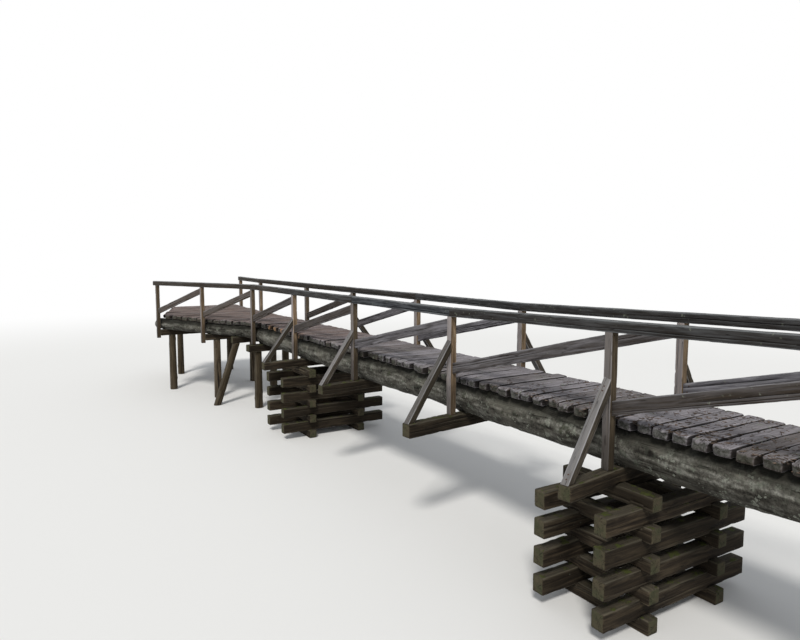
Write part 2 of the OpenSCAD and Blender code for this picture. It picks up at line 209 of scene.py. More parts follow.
def blend(share, *colours):
    """Mixes two colours, wires or tints: share 0 gives the first and 1 the second."""
    first, second = (c if isinstance(c, Wire) else tint(c) for c in colours)
    return box(share.tree, "Mix", {0: share, 6: first, 7: second}, data_type="RGBA").of(2)


def start_group(name, **inputs):
    """Begins a node group with named inputs, each a number or, where its value is a tuple, a
    place or a direction, and gives them as wires."""
    tree = bpy.data.node_groups.new(name, "ShaderNodeTree")
    for label, value in inputs.items():
        kind = "NodeSocketVector" if isinstance(value, tuple) else "NodeSocketFloat"
        tree.interface.new_socket(name=label, in_out="INPUT",
                                  socket_type=kind).default_value = value
    return [Wire(s) for s in tree.nodes.new("NodeGroupInput").outputs[:len(inputs)]]


def end_group(**outputs):
    """Ends a node group with named outputs, all of them numbers, and gives the group."""
    tree = list(outputs.values())[0].tree
    for label in outputs:
        tree.interface.new_socket(name=label, in_out="OUTPUT", socket_type="NodeSocketFloat")
    sockets = tree.nodes.new("NodeGroupOutput").inputs
    for label, wire in outputs.items():
        tree.links.new(wire.socket, sockets[label])
    print("group", tree.name, "with", len(tree.nodes), "boxes")
    return tree


def use(group, **feeds):
    """Places a group beside the boxes that feed it, and gives its outputs, or its only one."""
    tree = next(v.tree for v in feeds.values() if isinstance(v, Wire))
    first = box(tree, "Group", feeds, node_tree=group)
    outputs = [first.of(k) for k in range(len(first.socket.node.outputs))]
    return outputs if len(outputs) > 1 else first


print("middle grey in linear light:", tint((128, 128, 128))[0])

# %% [markdown]
# ## Shared effects
#
# Every weathered timber shows the same few things in different amounts: fibres along its length,
# stains, drying cracks, rings on its cut ends, a side that the sun has bleached, pale worn
# arrises, moss where it stays damp and lichen spots where it stays dry. Each is a node group that
# puts out numbers and never a colour, so one timber differs from the next by what it feeds in and
# by the colours that it mixes. Copying the boxes into every material would work too, but a change
# would then have to be made in each of them. The grain reads a place stored on the mesh, measured
# along the timber, because the fibres turn with the timber and not with the world.

# %% Group: fibres and drying cracks
# A slow noise bends the place within the timber, and faster noises of the bent place are the
# streaks and the fine fibres. A crack runs where a noise crosses one half, broken by another.
ORIGIN = (0.0, 0.0, 0.0)
place, band, cracks = start_group("wood fibres", Place=ORIGIN, Band=0.03, Cracks=0.5)
along = place * (1 / band)
wander = cloud(along * (0.03, 0.25, 0.25), detail=1.0).of("Color")
bent = wander * (0, 2.2, 2.2) + along * (0.05, 1, 1)
line = cloud(bent * (0.45, 0.8, 0.8), detail=2.5)
broken = cloud(bent * (2.5, 0.5, 0.5), detail=1.0)
reach = 0.85 - cracks * 0.5
fibre_group = end_group(
    Streak=cloud(bent, detail=5.0, roughness=0.62),
    Fine=cloud(bent * (0.5, 6, 6), detail=3.0, roughness=0.7),
    Crack=(1 - rise(abs(line - 0.5), 0.004, 0.02)) * rise(broken, reach, reach + 0.06))

# %% Group: rings and star cracks of a cut end
# The sine of the distance from the pith, a little warped, makes the rings. A crack of the star
# runs where a noise of the angle round the pith crosses one half.
place, spacing = start_group("end rings", Place=ORIGIN, Ring=0.006)
flat = place * (0, 1, 1)
warp = cloud(flat, 14.0)
radius = calc("LENGTH", flat).of("Value") + warp * 0.03
ring = calc("SINE", radius / spacing * 6.2832)
angle = calc("ARCTAN2", three(flat)[2], three(flat)[1])
star = cloud(box(place.tree, "CombineXYZ", {0: angle * 4.0, 1: radius * 6.0}))
star = 1 - rise(abs(star - 0.5), 0.004, 0.018)
ring_group = end_group(Ring=ring * 0.5 + 0.5, Star=star * rise(warp, 0.42, 0.6))

# %% Groups: stains and open cracks
# Fine fibres, the tone of the timber and wide blotches multiply into one shade.
place, fine, tone, vary = start_group("stained shade", Place=ORIGIN, Fine=0.5, Tone=0.0, Vary=0.2)
stain = cloud(place * (2.2, 7.0, 7.0), 1.0, 5.0, 0.68)
shade = (rise(fine, 0.28, 0.72) * 0.75 + 0.62) * (tone * vary + 0.97)
stain_group = end_group(Stain=stain, Shade=shade * (rise(stain, 0.35, 0.65) * 0.3 + 0.82))

crack, check, star, cut = start_group("open cracks", Crack=0.0, Check=0.0, Star=0.0, Cut=0.0)
gap_group = end_group(Depth=larger(larger(crack * 0.8, rise(check, 0.15, 0.75)), star * cut))

# %% Groups: the drab side, sun bleach and edge wear
# A timber is drab where its tone is low or where it lies to the left of a place along X. What
# faces the sun is bleached along its streaks. Arrises wear pale, and so do fine fibres on top.
NOWHERE = (-30.0, -20.0)
place, tone, start, full = start_group("drab side", Place=ORIGIN, Tone=0.0, Start=NOWHERE[0],
                                       Full=NOWHERE[1])
by_place = 0.85 - rise(three(place)[0], start, full)
drab_group = end_group(Share=held(larger(held(0.3 - tone * 0.45), by_place)))

facing, sun, streak, tone, most = start_group("sun bleach", Facing=ORIGIN, Sun=ORIGIN, Streak=0.5,
                                              Tone=0.0, Most=0.5)
toward_sun = calc("DOT_PRODUCT", facing, sun).of("Value")
sun_group = end_group(Share=rise(streak * 0.8 + toward_sun, 0.35, 1.1) * (tone * 0.3 + 0.7) * most)

streak, fine, worn, upward, arris = start_group("edge wear", Streak=0.5, Fine=0.5, Worn=0.0,
                                                Upward=0.0, Arris=0.5)
silver = rise(fine, 0.56, 0.68) * rise(upward, 0.3, 0.9) * 0.45
wear_group = end_group(Share=larger(rise(streak * 0.9 + worn, 0.85, 1.4) * arris, silver))

# %% Group: moss cushions
# Patches of noise, more of them on what faces up, with tufts that raise the surface.
place, upward, amount, size = start_group("moss", Place=ORIGIN, Upward=0.0, Amount=0.3, Size=0.15)
near = place * (1 / size)
tuft = cloud(near, 22.0)
level = cloud(near, detail=6.0, roughness=0.68) + upward * 0.16 + (tuft - 0.5) * 0.12
edge = 0.86 - amount * 0.5
mask = rise(level, edge, edge + 0.07)
moss_group = end_group(Mask=mask, Tone=tuft, Height=mask * (tuft + 0.3))

# %% Group: lichen crusts
# A crust fills the middle of some cells, out to a wavy edge, in some regions only.
place, upward, size, amount = start_group("lichen", Place=ORIGIN, Upward=0.0, Size=0.04,
                                          Amount=0.4)
near = place * (1 / size)
lobes = cloud(near, 2.6, 4.0, 0.65)
cell = box(place.tree, "TexVoronoi", {"Vector": near + lobes.of("Color") * 1.1, "Scale": 1.0})
own, _, tone = three(cell.of("Color"))
region = rise(upward * 0.06 + cloud(near, 0.13), 0.42, 0.62)
reach = rise(own, 1 - amount * 0.6, 1.2) * region * (lobes + 0.6)
lichen_group = end_group(
    Mask=rise(reach - cell, 0.0, 0.14) * rise(cloud(near, 7.0), 0.36, 0.52), Tone=tone)

# %% [markdown]
# ## Weathered wood
#
# One material function makes all squared timber. The order is the order in which weather works:
# fibres and cracks first, then the bleached sunny side, then worn arrises and cut ends, and at
# last lichen and moss on top. The colour that a number of timbers share is varied from timber to
# timber by a tone that each one carries on its mesh.

# %% Starting and ending a material
def cleared(owner):
    """The boxes of a material or of the world, with none left."""
    owner.use_nodes = True
    owner.node_tree.nodes.clear()
    return owner.node_tree


def start_wood(name):
    """An empty material and what the mesh tells it: the place along the grain, the marks of
    wear, what is known of the ends, the place and the direction that the surface faces."""
    print("material", name)
    material = bpy.data.materials.new(name)
    tree = cleared(material)
    grain, marks, ends = (box(tree, "Attribute", attribute_name=n).of("Vector")
                          for n in ("grain", "marks", "ends"))
    where = box(tree, "TexCoord")
    return material, grain, three(marks), three(ends), where.of("Object"), where.of("Normal")


def ramp(value, low, high, dark, middle, light):
    """Dark up to low, middle at one half and light from high on."""
    made_of = box(value.tree, "ValToRGB", {0: value})
    stops = made_of.socket.node.color_ramp.elements
    stops[0].position, stops[0].color = low, tint(dark)
    stops[1].position, stops[1].color = high, tint(light)
    stops.new(0.5).color = tint(middle)
    return made_of


def finish_material(colour, roughness, height, depth, specular=0.12, metallic=0.0):
    """The shader itself, with a bump of the given depth in metres."""
    tree = colour.tree
    bump = box(tree, "Bump", {"Strength": 1.0, "Distance": depth, "Height": height})
    box(tree, "OutputMaterial", {0: box(tree, "BsdfPrincipled", {
        "Base Color": colour, "Roughness": roughness, "Normal": bump,
        "Specular IOR Level": specular, "Metallic": metallic})})


print("ready to make materials")

# %% Material: squared, split and hewn wood
MOSS = (44, 48, 24), (86, 92, 48)
LICHEN = (84, 90, 76), (132, 137, 123)
BROKEN = (112, 78, 50), (190, 150, 112)
ALGAE, DUST, EARTH = (52, 60, 40), (108, 84, 71), (38, 33, 26)
# Painted shade: the first colour darkens open cracks, the second the gaps between planks.
CRACK_SHADE, SLOT_SHADE = (20, 17, 15), (24, 21, 18)


def weathered_wood(name, dark, middle, light, end, bleach, drab, bleached=0.4, band=0.022,
                   cracks=0.6, moss=0.03, lichen=0.3, lichen_size=0.03, arris=0.5, depth=0.0012,
                   foot=0.0, sun=(-0.35, -0.62, 0.55), vary=0.16, slot_shade=0.0, algae=0.0, damp_and_shade=None,
                   dusty=None, browner=NOWHERE):
    """Base colour from fibre streaks between dark, middle and light, turned to drab on timbers
    with a low tone, a bleached side that faces along sun, pale arrises, ringed ends, painted
    shade in open cracks, then lichen and moss. slots is how much painted shade darkens the
    faces toward neighbouring planks, algae how green a film lies on cut ends, and foot the
    height up to which earth darkens a post. Each of the last three names two places along X:
    moss grows thicker between those of damp, warm dust lies on what faces up before those of
    dusty, and the wood turns drab before those of browner."""
    material, grain, (worn, check, tone), (cut, broken, _), place, facing = start_wood(name)
    (x, _, z), (sideways, _, upward) = three(place), three(facing)
    streak, fine, crack = use(fibre_group, Place=grain, Band=band, Cracks=cracks)
    ring, star = use(ring_group, Place=grain, Ring=0.007)
    stain, shade = use(stain_group, Place=grain, Fine=fine, Tone=tone, Vary=vary)
    brown = use(drab_group, Place=place, Tone=tone, Start=browner[0], Full=browner[1])
    colour = blend(brown, ramp(streak, 0.32, 0.68, dark, middle, light), drab) * shade
    sunny = use(sun_group, Facing=facing, Sun=sun, Streak=streak, Tone=tone, Most=bleached)
    wear = use(wear_group, Streak=streak, Fine=fine, Worn=worn, Upward=upward, Arris=arris)
    colour = blend(wear, blend(sunny, colour, bleach), bleach)

    colour = blend(cut * (ring * 0.5 + 0.42), colour, end)
    if algae:
        colour = blend(cut * rise(stain, 0.36, 0.64) * algae, colour, ALGAE)
    colour = blend(broken * rise(stain, 0.42, 0.58), colour, blend(streak, *BROKEN))
    gap = use(gap_group, Crack=crack, Check=check, Star=star, Cut=cut)
    # Painted shade in open cracks and checks.
    colour = blend(gap * 0.86, colour, CRACK_SHADE)
    # Painted shade on the faces that look toward neighbouring planks, down in the gaps.
    if slot_shade:
        colour = blend(rise(abs(sideways), 0.55, 0.95) * slot_shade, colour, SLOT_SHADE)
    if dusty:
        dust = (1 - rise(x, *dusty)) * rise(upward, 0.4, 0.9)
        colour = blend(dust * (rise(stain, 0.3, 0.6) * 0.35 + 0.2), colour, DUST)
    if foot:
        colour = blend((1 - rise(z, foot, foot + 0.45)) * 0.6, colour, EARTH)

    crust, crust_tone = use(lichen_group, Place=place, Upward=upward, Size=lichen_size,
                            Amount=lichen)
    colour = blend(crust * 0.6, colour, blend(crust_tone, *LICHEN))
    if damp_and_shade:
        moss = rise(x, *damp_and_shade) * 0.30 + moss
    green, green_tone, cushion = use(moss_group, Place=place, Upward=upward, Amount=moss)
    colour = blend(green, colour, blend(green_tone, *MOSS))
    height = streak * 0.6 + fine * 0.5 - gap * 1.6 + cushion * 2.5
    finish_material(colour, held(0.92 - fine * 0.18), height, depth)
    return material


plank_wood = weathered_wood(
    "split plank", (44, 40, 41), (85, 81, 84), (130, 125, 129), (56, 59, 48), (168, 165, 170),
    (84, 74, 63), band=0.03, cracks=0.8, moss=0.1, lichen=0.55, lichen_size=0.05, depth=0.0025,
    sun=(0, -0.3, 0.8), vary=0.24, slot_shade=0.85, damp_and_shade=(7.9, 9.6), dusty=(-1.0, 2.2),
    browner=(-6.5, -2.5))

# %% [markdown]
# ## Reading the frame
#
# A node of the frame is a mesh of loose triangles that may hold several timbers, such as all the
# planks of one bay. Each timber is found as a set of triangles that share corners. A squared
# timber is then described by its eight corners, whatever way it leans.

# %% Timbers of a node
def columns(*values):
    """Arrays and numbers side by side, so that the last axis holds one of each."""
    return np.stack(np.broadcast_arrays(*values), -1)


def unit(v):
    v = np.asarray(v, float)
    return v / np.linalg.norm(v, axis=-1, keepdims=True)


def fetch(items, what, kind=np.float32):
    """The three numbers of every item of a mesh, a row each."""
    values = np.empty(len(items) * 3, kind)
    items.foreach_get(what, values)
    return values.reshape(-1, 3)


def timbers_of(name):
    """The separate timbers of a frame node, each as its distinct corner points. Each point starts
    with its own label, and points that share a triangle take the lower one until none changes."""
    mesh = frame["nodes"][name].data
    mesh.calc_loop_triangles()
    points, index = np.unique(np.round(fetch(mesh.vertices, "co").astype(float), 4), axis=0,
                              return_inverse=True)
    corner = index.reshape(-1)[fetch(mesh.loop_triangles, "vertices", np.int32)]
    label = np.arange(len(points))
    while True:
        lower = label.copy()
        np.minimum.at(lower, corner.ravel(), np.repeat(label[corner].min(1), 3))
        if (lower == label).all():
            return [points[label == v] for v in np.unique(label)]
        label = lower


def eight_corners(points, along, up):
    """Corners of a squared timber as [end, bottom or top, side, xyz]: in each half of its length,
    the point that lies farthest along each diagonal of the section."""
    along = unit(along)
    up = unit(up - np.dot(up, along) * along)
    side = np.cross(along, up)
    place = points @ along
    far_half = place > (place.min() + place.max()) / 2
    diagonals = np.array([[-up - side, -up + side], [up - side, up + side]])
    corners = np.empty((2, 2, 2, 3))
    for end, half in enumerate((points[~far_half], points[far_half])):
        corners[end] = half[np.argmax(np.einsum("tsk,nk->tsn", diagonals, half), axis=2)]
    return corners


def across_bridge(points):
    """Corners of a timber that lies across the bridge, such as a plank or a cross timber."""
    return eight_corners(points, (0, 1, 0), (0, 0, 1))


print("timbers in the frame:", sum(len(timbers_of(n)) for n in frame["nodes"]))

# %% [markdown]
# ## Repeatable roughness
#
# Nothing on this bridge is quite straight. The waves, chips and lumps come from value noise: a
# grid of whole-number points, each with a fixed number worked out from its place, and a smooth
# blend between neighbours. A modifier with a noise texture could do this too, but arrays let one
# formula know where the arrises, ends and seats are.

# %% Value noise
def lattice(x, y, z, seed):
    """A fixed number between -1 and 1 for each whole-number point, by mixing the bits of its
    three places."""
    h = (x * 73856093) ^ (y * 19349663) ^ (z * 83492791) ^ (seed * 2654435 + 1013904223)
    h = (h & 0xFFFFFFFF) * 1274126177 & 0xFFFFFFFF
    h = ((h ^ (h >> 15)) * 2246822519) & 0xFFFFFFFF
    return ((h ^ (h >> 13)) & 0xFFFFFF) / 8388607.5 - 1


def noise(x, y, z, seed=0):
    """The eight corners of the cell round each point, blended by the curve 3f^2 - 2f^3."""
    cell = [np.floor(v).astype(np.int64) for v in (x, y, z)]
    part = [v - c for v, c in zip((x, y, z), cell)]
    part = [f * f * (3 - 2 * f) for f in part]
    total = 0.0
    for corner in np.ndindex(2, 2, 2):
        a, b, c = (f if k else 1 - f for f, k in zip(part, corner))
        total = total + a * b * c * lattice(*(v + k for v, k in zip(cell, corner)), seed)
    return total


def rough(x, y, z, size, seed=0, layers=3, fade=0.5):
    """Layers of value noise, each half as big and fade times as strong as the one before."""
    total, whole = 0.0, 0.0
    for layer in range(layers):
        f, strength = 2.0 ** layer / size, fade ** layer
        total = total + strength * noise(x * f, y * f, z * f, seed + 17 * layer)
        whole += strength
    return total / whole


print("noise sample:", round(float(rough(np.array([0.3]), 0.2, 0.7, 0.5)[0]), 4))

# %% [markdown]
# ## From surfaces to pieces
#
# A part of a piece is a set of rings, closed at both ends by smaller rings and a middle point.
# Parts are gathered and put into one mesh with foreach_set, and three attributes go with them:
# the place within the timber for the grain, the marks of wear and what is known about the ends.

# %% Rings to a closed surface, parts to a piece
CAP_SHARES = [0.72, 0.4]
made = {}


def tube_faces(rows, around):
    """Quads between rows of points, and triangles that close the first and the last row on two
    more points."""
    i, j = np.meshgrid(np.arange(rows - 1), np.arange(around), indexing="ij")
    a, b = i * around + j, i * around + (j + 1) % around
    quads = columns(a, b, b + around, a + around).reshape(-1, 4)
    j, last_row, first = np.arange(around), (rows - 1) * around, rows * around
    k = (j + 1) % around
    return quads, np.concatenate([columns(first, k, j), columns(j + last_row, k + last_row,
                                                                first + 1)])


def close_rings(rings):
    """rings is (n, m, 3). Adds shrinking rings and a middle point at both ends. Returns the part
    so far, a function that takes values on the rings to all the points, and for each point its
    share of the full ring."""
    n, m, _ = rings.shape
    k = len(CAP_SHARES)
    row = np.concatenate([[0] * k, np.arange(n), [n - 1] * k]).astype(int)
    share = np.concatenate([CAP_SHARES[::-1], np.ones(n), CAP_SHARES])
    middle = rings.mean(1, keepdims=True)
    points = middle[row] + (rings - middle)[row] * share[:, None, None]
    points = np.concatenate([points.reshape(-1, 3), middle[0], middle[-1]])
    ring_of = np.concatenate([np.repeat(row, m), [0, n - 1]])
    on_ring = np.concatenate([np.tile(np.arange(m), len(row)), [0, 0]])
    share = np.concatenate([np.repeat(share, m), [0.0, 0.0]])
    quads, fans = tube_faces(len(row), m)
    size = np.linalg.det(points[quads[:, :3]]).sum() + np.linalg.det(
        points[quads[:, [0, 2, 3]]]).sum()
    if size < 0:
        quads, fans = quads[:, ::-1], fans[:, ::-1]
    return ({"points": points, "quads": quads, "fans": fans},
            lambda values: np.broadcast_to(values, (n, m))[ring_of, on_ring], share)


def make_piece(name, parts, material, node=None):
    """Joins the parts into one mesh, keeps it inside the frame's box, smooths its shading and
    hides the frame node whose place it takes."""
    offset = np.cumsum([0] + [len(p["points"]) for p in parts])
    points = np.clip(np.concatenate([p["points"] for p in parts]), *np.array(cad_box))
    quads, fans = (np.concatenate([p[kind] + o for p, o in zip(parts, offset)])
                   for kind in ("quads", "fans"))
    mesh = bpy.data.meshes.new(name)
    mesh.vertices.add(len(points))
    mesh.vertices.foreach_set("co", points.astype(np.float32).ravel())
    loops = np.concatenate([quads.ravel(), fans.ravel()]).astype(np.int32)
    mesh.loops.add(len(loops))
    mesh.loops.foreach_set("vertex_index", loops)
    starts = np.concatenate([np.arange(len(quads)) * 4, len(quads) * 4 + np.arange(len(fans)) * 3])
    mesh.polygons.add(len(starts))
    mesh.polygons.foreach_set("loop_start", starts.astype(np.int32))
    mesh.polygons.foreach_set("use_smooth", np.ones(len(starts), bool))
    for label in ("grain", "marks", "ends"):
        values = np.concatenate([p[label] for p in parts]).astype(np.float32).ravel()
        mesh.attributes.new(label, "FLOAT_VECTOR", "POINT").data.foreach_set("vector", values)
    mesh.update(calc_edges=True)
    mesh.validate()
    mesh.materials.append(material)
    piece = show(name, mesh)
    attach(piece, "root")
    if node:
        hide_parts(node)
    made[name] = 2 * len(quads) + len(fans)


print("ready to make pieces")

# %% [markdown]
# ## A squared timber
#
# The section is a rectangle with rounded arrises, carried along the length. Along the way the
# faces wave a little, the arrises lose chips, and drying checks open as grooves that run with the
# grain. Both ends are rounded by use. A bevelled box with a displacement modifier would come
# close, but its noise wouldn't know an arris from a face. Everything is measured in metres, so a
# thick rail and a thin board wear alike.

# %% Section of a timber
ARRISES = [(-1, -1, 180), (1, -1, 270), (1, 1, 0), (-1, 1, 90)]
SIDES = [(0, -1), (1, 0), (0, 1), (-1, 0)]


def section(width, height, radius, counts, checks, check_width):
    """Points round a rounded rectangle, anticlockwise from the lower left arris: counts gives the
    free points on the bottom, right, top and left. A check is a (side, place) and gets three
    points: its two lips and its bottom. Returns for each point the part of the way across and
    up, its outward direction, how much it is an arris, how freely it may wander along its side,
    and the number of the check whose bottom it is, or -1."""
    rows = []
    for side, ((a, b, start), (out_x, out_y)) in enumerate(zip(ARRISES, SIDES)):
        for angle, edge in zip((0, 45, 90), (0.6, 1.0, 0.6)):
            phi = np.radians(start + angle)
            rows.append((a, b, np.cos(phi), np.sin(phi), edge, 0.0, -1))
        half = check_width / (height if out_x else width)
        free = [(q, -1) for q in np.linspace(1, -1, counts[side] + 2)[1:-1]]
        for k, (on, q) in enumerate(checks):
            if on == side:
                free = [f for f in free if abs(f[0] - q) > 1.7 * half]
                free += [(q + half, -1), (q, k), (q - half, -1)]
        for q, k in sorted(free, reverse=True):
            rows.append((a if out_x else a * q, b * q if out_x else b, out_x, out_y, 0.0,
                         1 - q * q, k))
    a, b, nx, ny, edge, wander, check = np.array(rows).T
    rs, rt = 2 * radius / width, 2 * radius / height
    return a * (1 - rs) + nx * rs, b * (1 - rt) + ny * rt, nx, ny, edge, wander, check


def ring_places(length, step, rounding):
    """Distances of the rings from the first end and how far each is drawn in: three rings shape
    the rounded arris of each end, and the rest lie evenly."""
    r0, r1 = rounding
    even = np.linspace(r0, length - r1, max(3, int(round((length - r0 - r1) / step)) + 1))
    x = np.concatenate([[0, 0.3 * r0], even, [length - 0.3 * r1, length]])
    inset = np.zeros(len(x))
    inset[:2], inset[-2:] = (r0, 0.3 * r0), (0.3 * r1, r1)
    return x, inset


def between(corners, p, q):
    """The point p of the way from side to side and q of the way from bottom to top."""
    p, q = p[..., None], q[..., None]
    return ((1 - q) * ((1 - p) * corners[0, 0] + p * corners[0, 1])
            + q * ((1 - p) * corners[1, 0] + p * corners[1, 1]))


print("a post has", len(section(0.092, 0.092, 0.006, (4, 4, 4, 4), [], 0.008)[0]), "points a ring")

# %% Timber
def check_grooves(x, numbers, count, length, off, seed, rng):
    """How open each check is along the timber: it starts and ends in a slope, and its width
    wanders. numbers says which point of a ring is the bottom of which check."""
    split = np.zeros((len(x), len(numbers)))
    for k in range(count):
        size = rng.uniform(0.35, 0.95) * length
        start = rng.choice([-0.1 * size, rng.uniform(0.02, 0.3) * length, length - 0.9 * size])
        window = np.clip(np.minimum(x - start, start + size - x) / (0.2 * size), 0, 1)
        wander = np.clip(0.75 + 0.6 * rough(x + off, k + 0.5, 0.5, 0.12, seed + 3, 2), 0, 1)
        split[:, numbers == k] = (window * wander)[:, None]
    return split


def timber(corners, seed, step=0.035, radius=0.007, counts=(3, 5, 3, 5), wave=(0.003, 0.003),
           wave_size=0.35, chips=0.008, rounding=(0.006, 0.006), checks=(0, 1, 2, 3),
           check_depth=0.014, check_width=0.008, bend=0.003, ragged=0.0, fresh=0.0, tone=None,
           notches=None):
    """A squared timber from its corners. wave is the swing of the side and of the upright faces,
    bend that of the whole timber and chips the depth of missing bits along the arrises. checks
    lists the sides that have a drying check, a groove that opens and closes along the grain.
    ragged moves the first end in and out, and fresh is how new its broken wood looks. notches
    gives the rings of a timber that isn't straight along its length."""
    rng = np.random.default_rng(seed)
    width = np.linalg.norm(corners[:, :, 1] - corners[:, :, 0], axis=-1).mean()
    height = np.linalg.norm(corners[:, 1] - corners[:, 0], axis=-1).mean()
    axis = (corners[1] - corners[0]).mean((0, 1))
    length = np.linalg.norm(axis)
    checks = [(side, rng.uniform(-0.72, 0.72)) for side in checks]
    s, t, nx, ny, edge, wander, check = section(width, height, radius, counts, checks,
                                                check_width)
    if notches:
        x, inset, frames = notches
    else:
        x, inset = ring_places(length, step, rounding)
        frames = corners[0] + (corners[1] - corners[0]) * (x / length)[:, None, None, None]
    across = unit((frames[:, :, 1] - frames[:, :, 0]).mean(1))[:, None]
    upward = unit((frames[:, 1] - frames[:, 0]).mean(1))[:, None]
    S = s * (1 - 2 * inset[:, None] / width)
    T = t * (1 - 2 * inset[:, None] / height)
    points = between(np.moveaxis(frames, 0, 2)[..., None, :], (S + 1) / 2, (T + 1) / 2)
    X, gy, gz = x[:, None], S * width / 2, T * height / 2

    off = rng.uniform(-40, 40, 3)
    swing = rough(X + off[0], gy + off[1], gz + off[2], wave_size, seed, 2)
    push = swing * (wave[0] * np.abs(nx) + wave[1] * np.abs(ny))
    push = push + 0.0012 * rough(X * 0.25 + off[1], gy + off[0], gz, 0.02, seed + 5, 2)
    chip = rough(X + off[2], gy * 3, gz * 3, 0.07, seed + 9, 3)
    push = push - chips * np.clip(chip * 3.2 - 0.9, 0, 1) * edge
    split = check_grooves(x, check, len(checks), length, off[1], seed, rng)
    push = push - check_depth * split
    slide = 0.045 * rough(X + off[0], nx * 9.0, ny * 9.0, 0.5, seed + 3, 2)
    slide = slide * wander * np.where(nx == 0, width, height)
    sway = bend * rough(X + off[:2], off[2], np.array([3.5, 9.5]), 1.1, seed + 6, 2)
    points = points + (push * nx + slide * (nx == 0) + sway[:, :1])[..., None] * across
    points = points + (push * ny + slide * (ny == 0) + sway[:, 1:])[..., None] * upward
    if ragged:
        bits = 0.5 + 0.8 * rough(gy + off[0], gz * 0.5 + off[1], 0.0, 0.05, seed + 21, 3)
        rotten = np.clip(1 - X / rng.uniform(0.08, 0.22), 0, 1) ** 1.6 * (ny > 0.2)
        worst = np.clip(0.5 + rough(X + off[0], gy * 2, 0.0, 0.07, seed + 23, 3), 0, 2)
        points = points + (ragged * np.clip(1 - X / 0.10, 0, 1) * bits)[..., None] * unit(axis)
        points = points - (ragged * rng.uniform(0.2, 1.3) * rotten * worst)[..., None] * upward

    part, take, share = close_rings(points)
    whole = share == 1
    shift = [off[0], rng.uniform(-0.3, 0.3) * width, rng.uniform(-0.3, 0.3) * height]
    tone = rng.uniform(-1, 1) if tone is None else tone
    part["grain"] = columns(take(X), take(gy) * share, take(gz) * share) + shift
    part["marks"] = columns(whole * take(np.where(inset[:, None] > 0, 0.25, edge)),
                            whole * take(split), tone)
    part["ends"] = columns(~whole | take((X == x[0]) | (X == x[-1])),
                           np.clip(1 - take(X) / 0.12, 0, 1) * fresh, 0.0)
    return part


def dress(name, ending, material, slot, corners_of, seed, spread=7, tones=None, **looks):
    """Makes every timber of a node, each with a seed of its own, as one piece."""
    parts = [timber(corners_of(p), seed + spread * k, tone=tones[k] if tones else None, **looks)
             for k, p in enumerate(timbers_of(name))]
    make_piece(name + ending, parts, material, name)


print("timber maker ready")

# %% [markdown]
# ## The deck
#
# The planks are split, not sawn: thick, a little crooked and rounded at their near ends, where
# painted shade darkens the gaps between them. The first bay has lost the ends of some of its
# planks, so their broken wood is still warm in colour. Copies of one plank would repeat its cracks
# all along the walkway, so every plank is made on its own, from its own corners and its own
# random numbers.

# %% Planks
def split_plank(corners, rng):
    """Draws the eight corners of a plank in a little, each by its own amount: wedge-shaped gaps
    that open downward and toward the near end, and tops that are not quite level."""
    draw = np.empty((2, 2, 2, 3))
    draw[..., 0] = rng.uniform(0.001, 0.010, (2, 2, 2))
    draw[0, :, :, 0] += rng.uniform(0.003, 0.013, (2, 2))
    draw[0, 0, :, 0] += rng.uniform(0.004, 0.016, 2)
    draw[..., 1] = rng.uniform(0.0, 0.010, (2, 1, 1))
    draw[0, :, :, 1] += 0.055 * rng.uniform() ** 1.5 + rng.uniform(0, 0.012, (2, 2))
    draw[..., 2] = 0
    draw[0, 0, :, 2] = rng.uniform(0, 0.020)
    draw[:, 1, :, 2] = rng.uniform(0, 0.012) + rng.uniform(0, 0.007, (2, 2))
    return corners + np.sign(corners.mean((0, 1, 2)) - corners) * draw


def split_planks(name, seed, step, counts, fresh):
    """The planks of one node. Six out of ten show broken wood where fresh isn't 0."""
    parts = []
    for k, points in enumerate(timbers_of(name)):
        rng = np.random.default_rng(seed + k)
        parts.append(timber(
            split_plank(across_bridge(points), rng), seed + k, step=step, radius=0.014,
            counts=counts, wave=(0.007, 0.006), wave_size=0.3, chips=0.016,
            rounding=(0.024, 0.014), checks=(2, 2, rng.integers(1, 4)), check_depth=0.018,
            check_width=0.010, bend=0.004, ragged=0.028, fresh=fresh * (rng.uniform() < 0.6)))
    return parts


decks = ["deck_bay_%d" % i for i in range(1, 6)] + ["landing_deck_inner", "landing_deck_outer"]
for i, name in enumerate(decks):
    grid = (0.075, (1, 2, 5, 2)) if name == "landing_deck_outer" else (0.04, (2, 4, 7, 4))
    parts = split_planks(name, 100 * i + 7, *grid, 0.9 if name == "deck_bay_1" else 0)
    make_piece(name + "_planks", parts, plank_wood, name)
print("planks:", {n: made[n + "_planks"] for n in decks})

# %% [markdown]
# ## Litter on the deck
#
# Bark flakes and broken twigs gather on the two bays nearest the camera, in the gaps and along the
# edge, where rain and wind leave them. Each flake is a thin closed chip with blunt ends and a
# ragged outline that lies on the plank below it. All flakes are made at once as one array, so
# hundreds cost no loop.

# %% Flakes and twigs
def tops_under(names, x, y):
    """Height of the planks' surface at each place: that of the nearest point that faces up."""
    meshes = [bpy.data.objects[name].data for name in names]
    tops = np.concatenate([fetch(m.vertices, "co")[fetch(m.vertices, "normal")[:, 2] > 0.6]
                           for m in meshes])
    away = (tops[:, 0] - x[:, None]) ** 2 + (tops[:, 1] - y[:, None]) ** 2
    return tops[away.argmin(1), 2]


def copies_of(points, rows, around, rng, grain):
    """Copies of one small closed tube as a part: points is (copies, points of a copy, 3)."""
    copies, each, _ = points.shape
    shift = (np.arange(copies) * each)[:, None, None]
    quads, fans = ((f + shift).reshape(-1, f.shape[1]) for f in tube_faces(rows, around))
    flat = points.reshape(-1, 3)
    tone = np.repeat(rng.uniform(-1, 1, copies), each)
    return {"points": flat, "quads": quads, "fans": fans, "grain": grain.reshape(-1, 3),
            "ends": flat * 0, "marks": columns(0.0, 0.0, tone)}


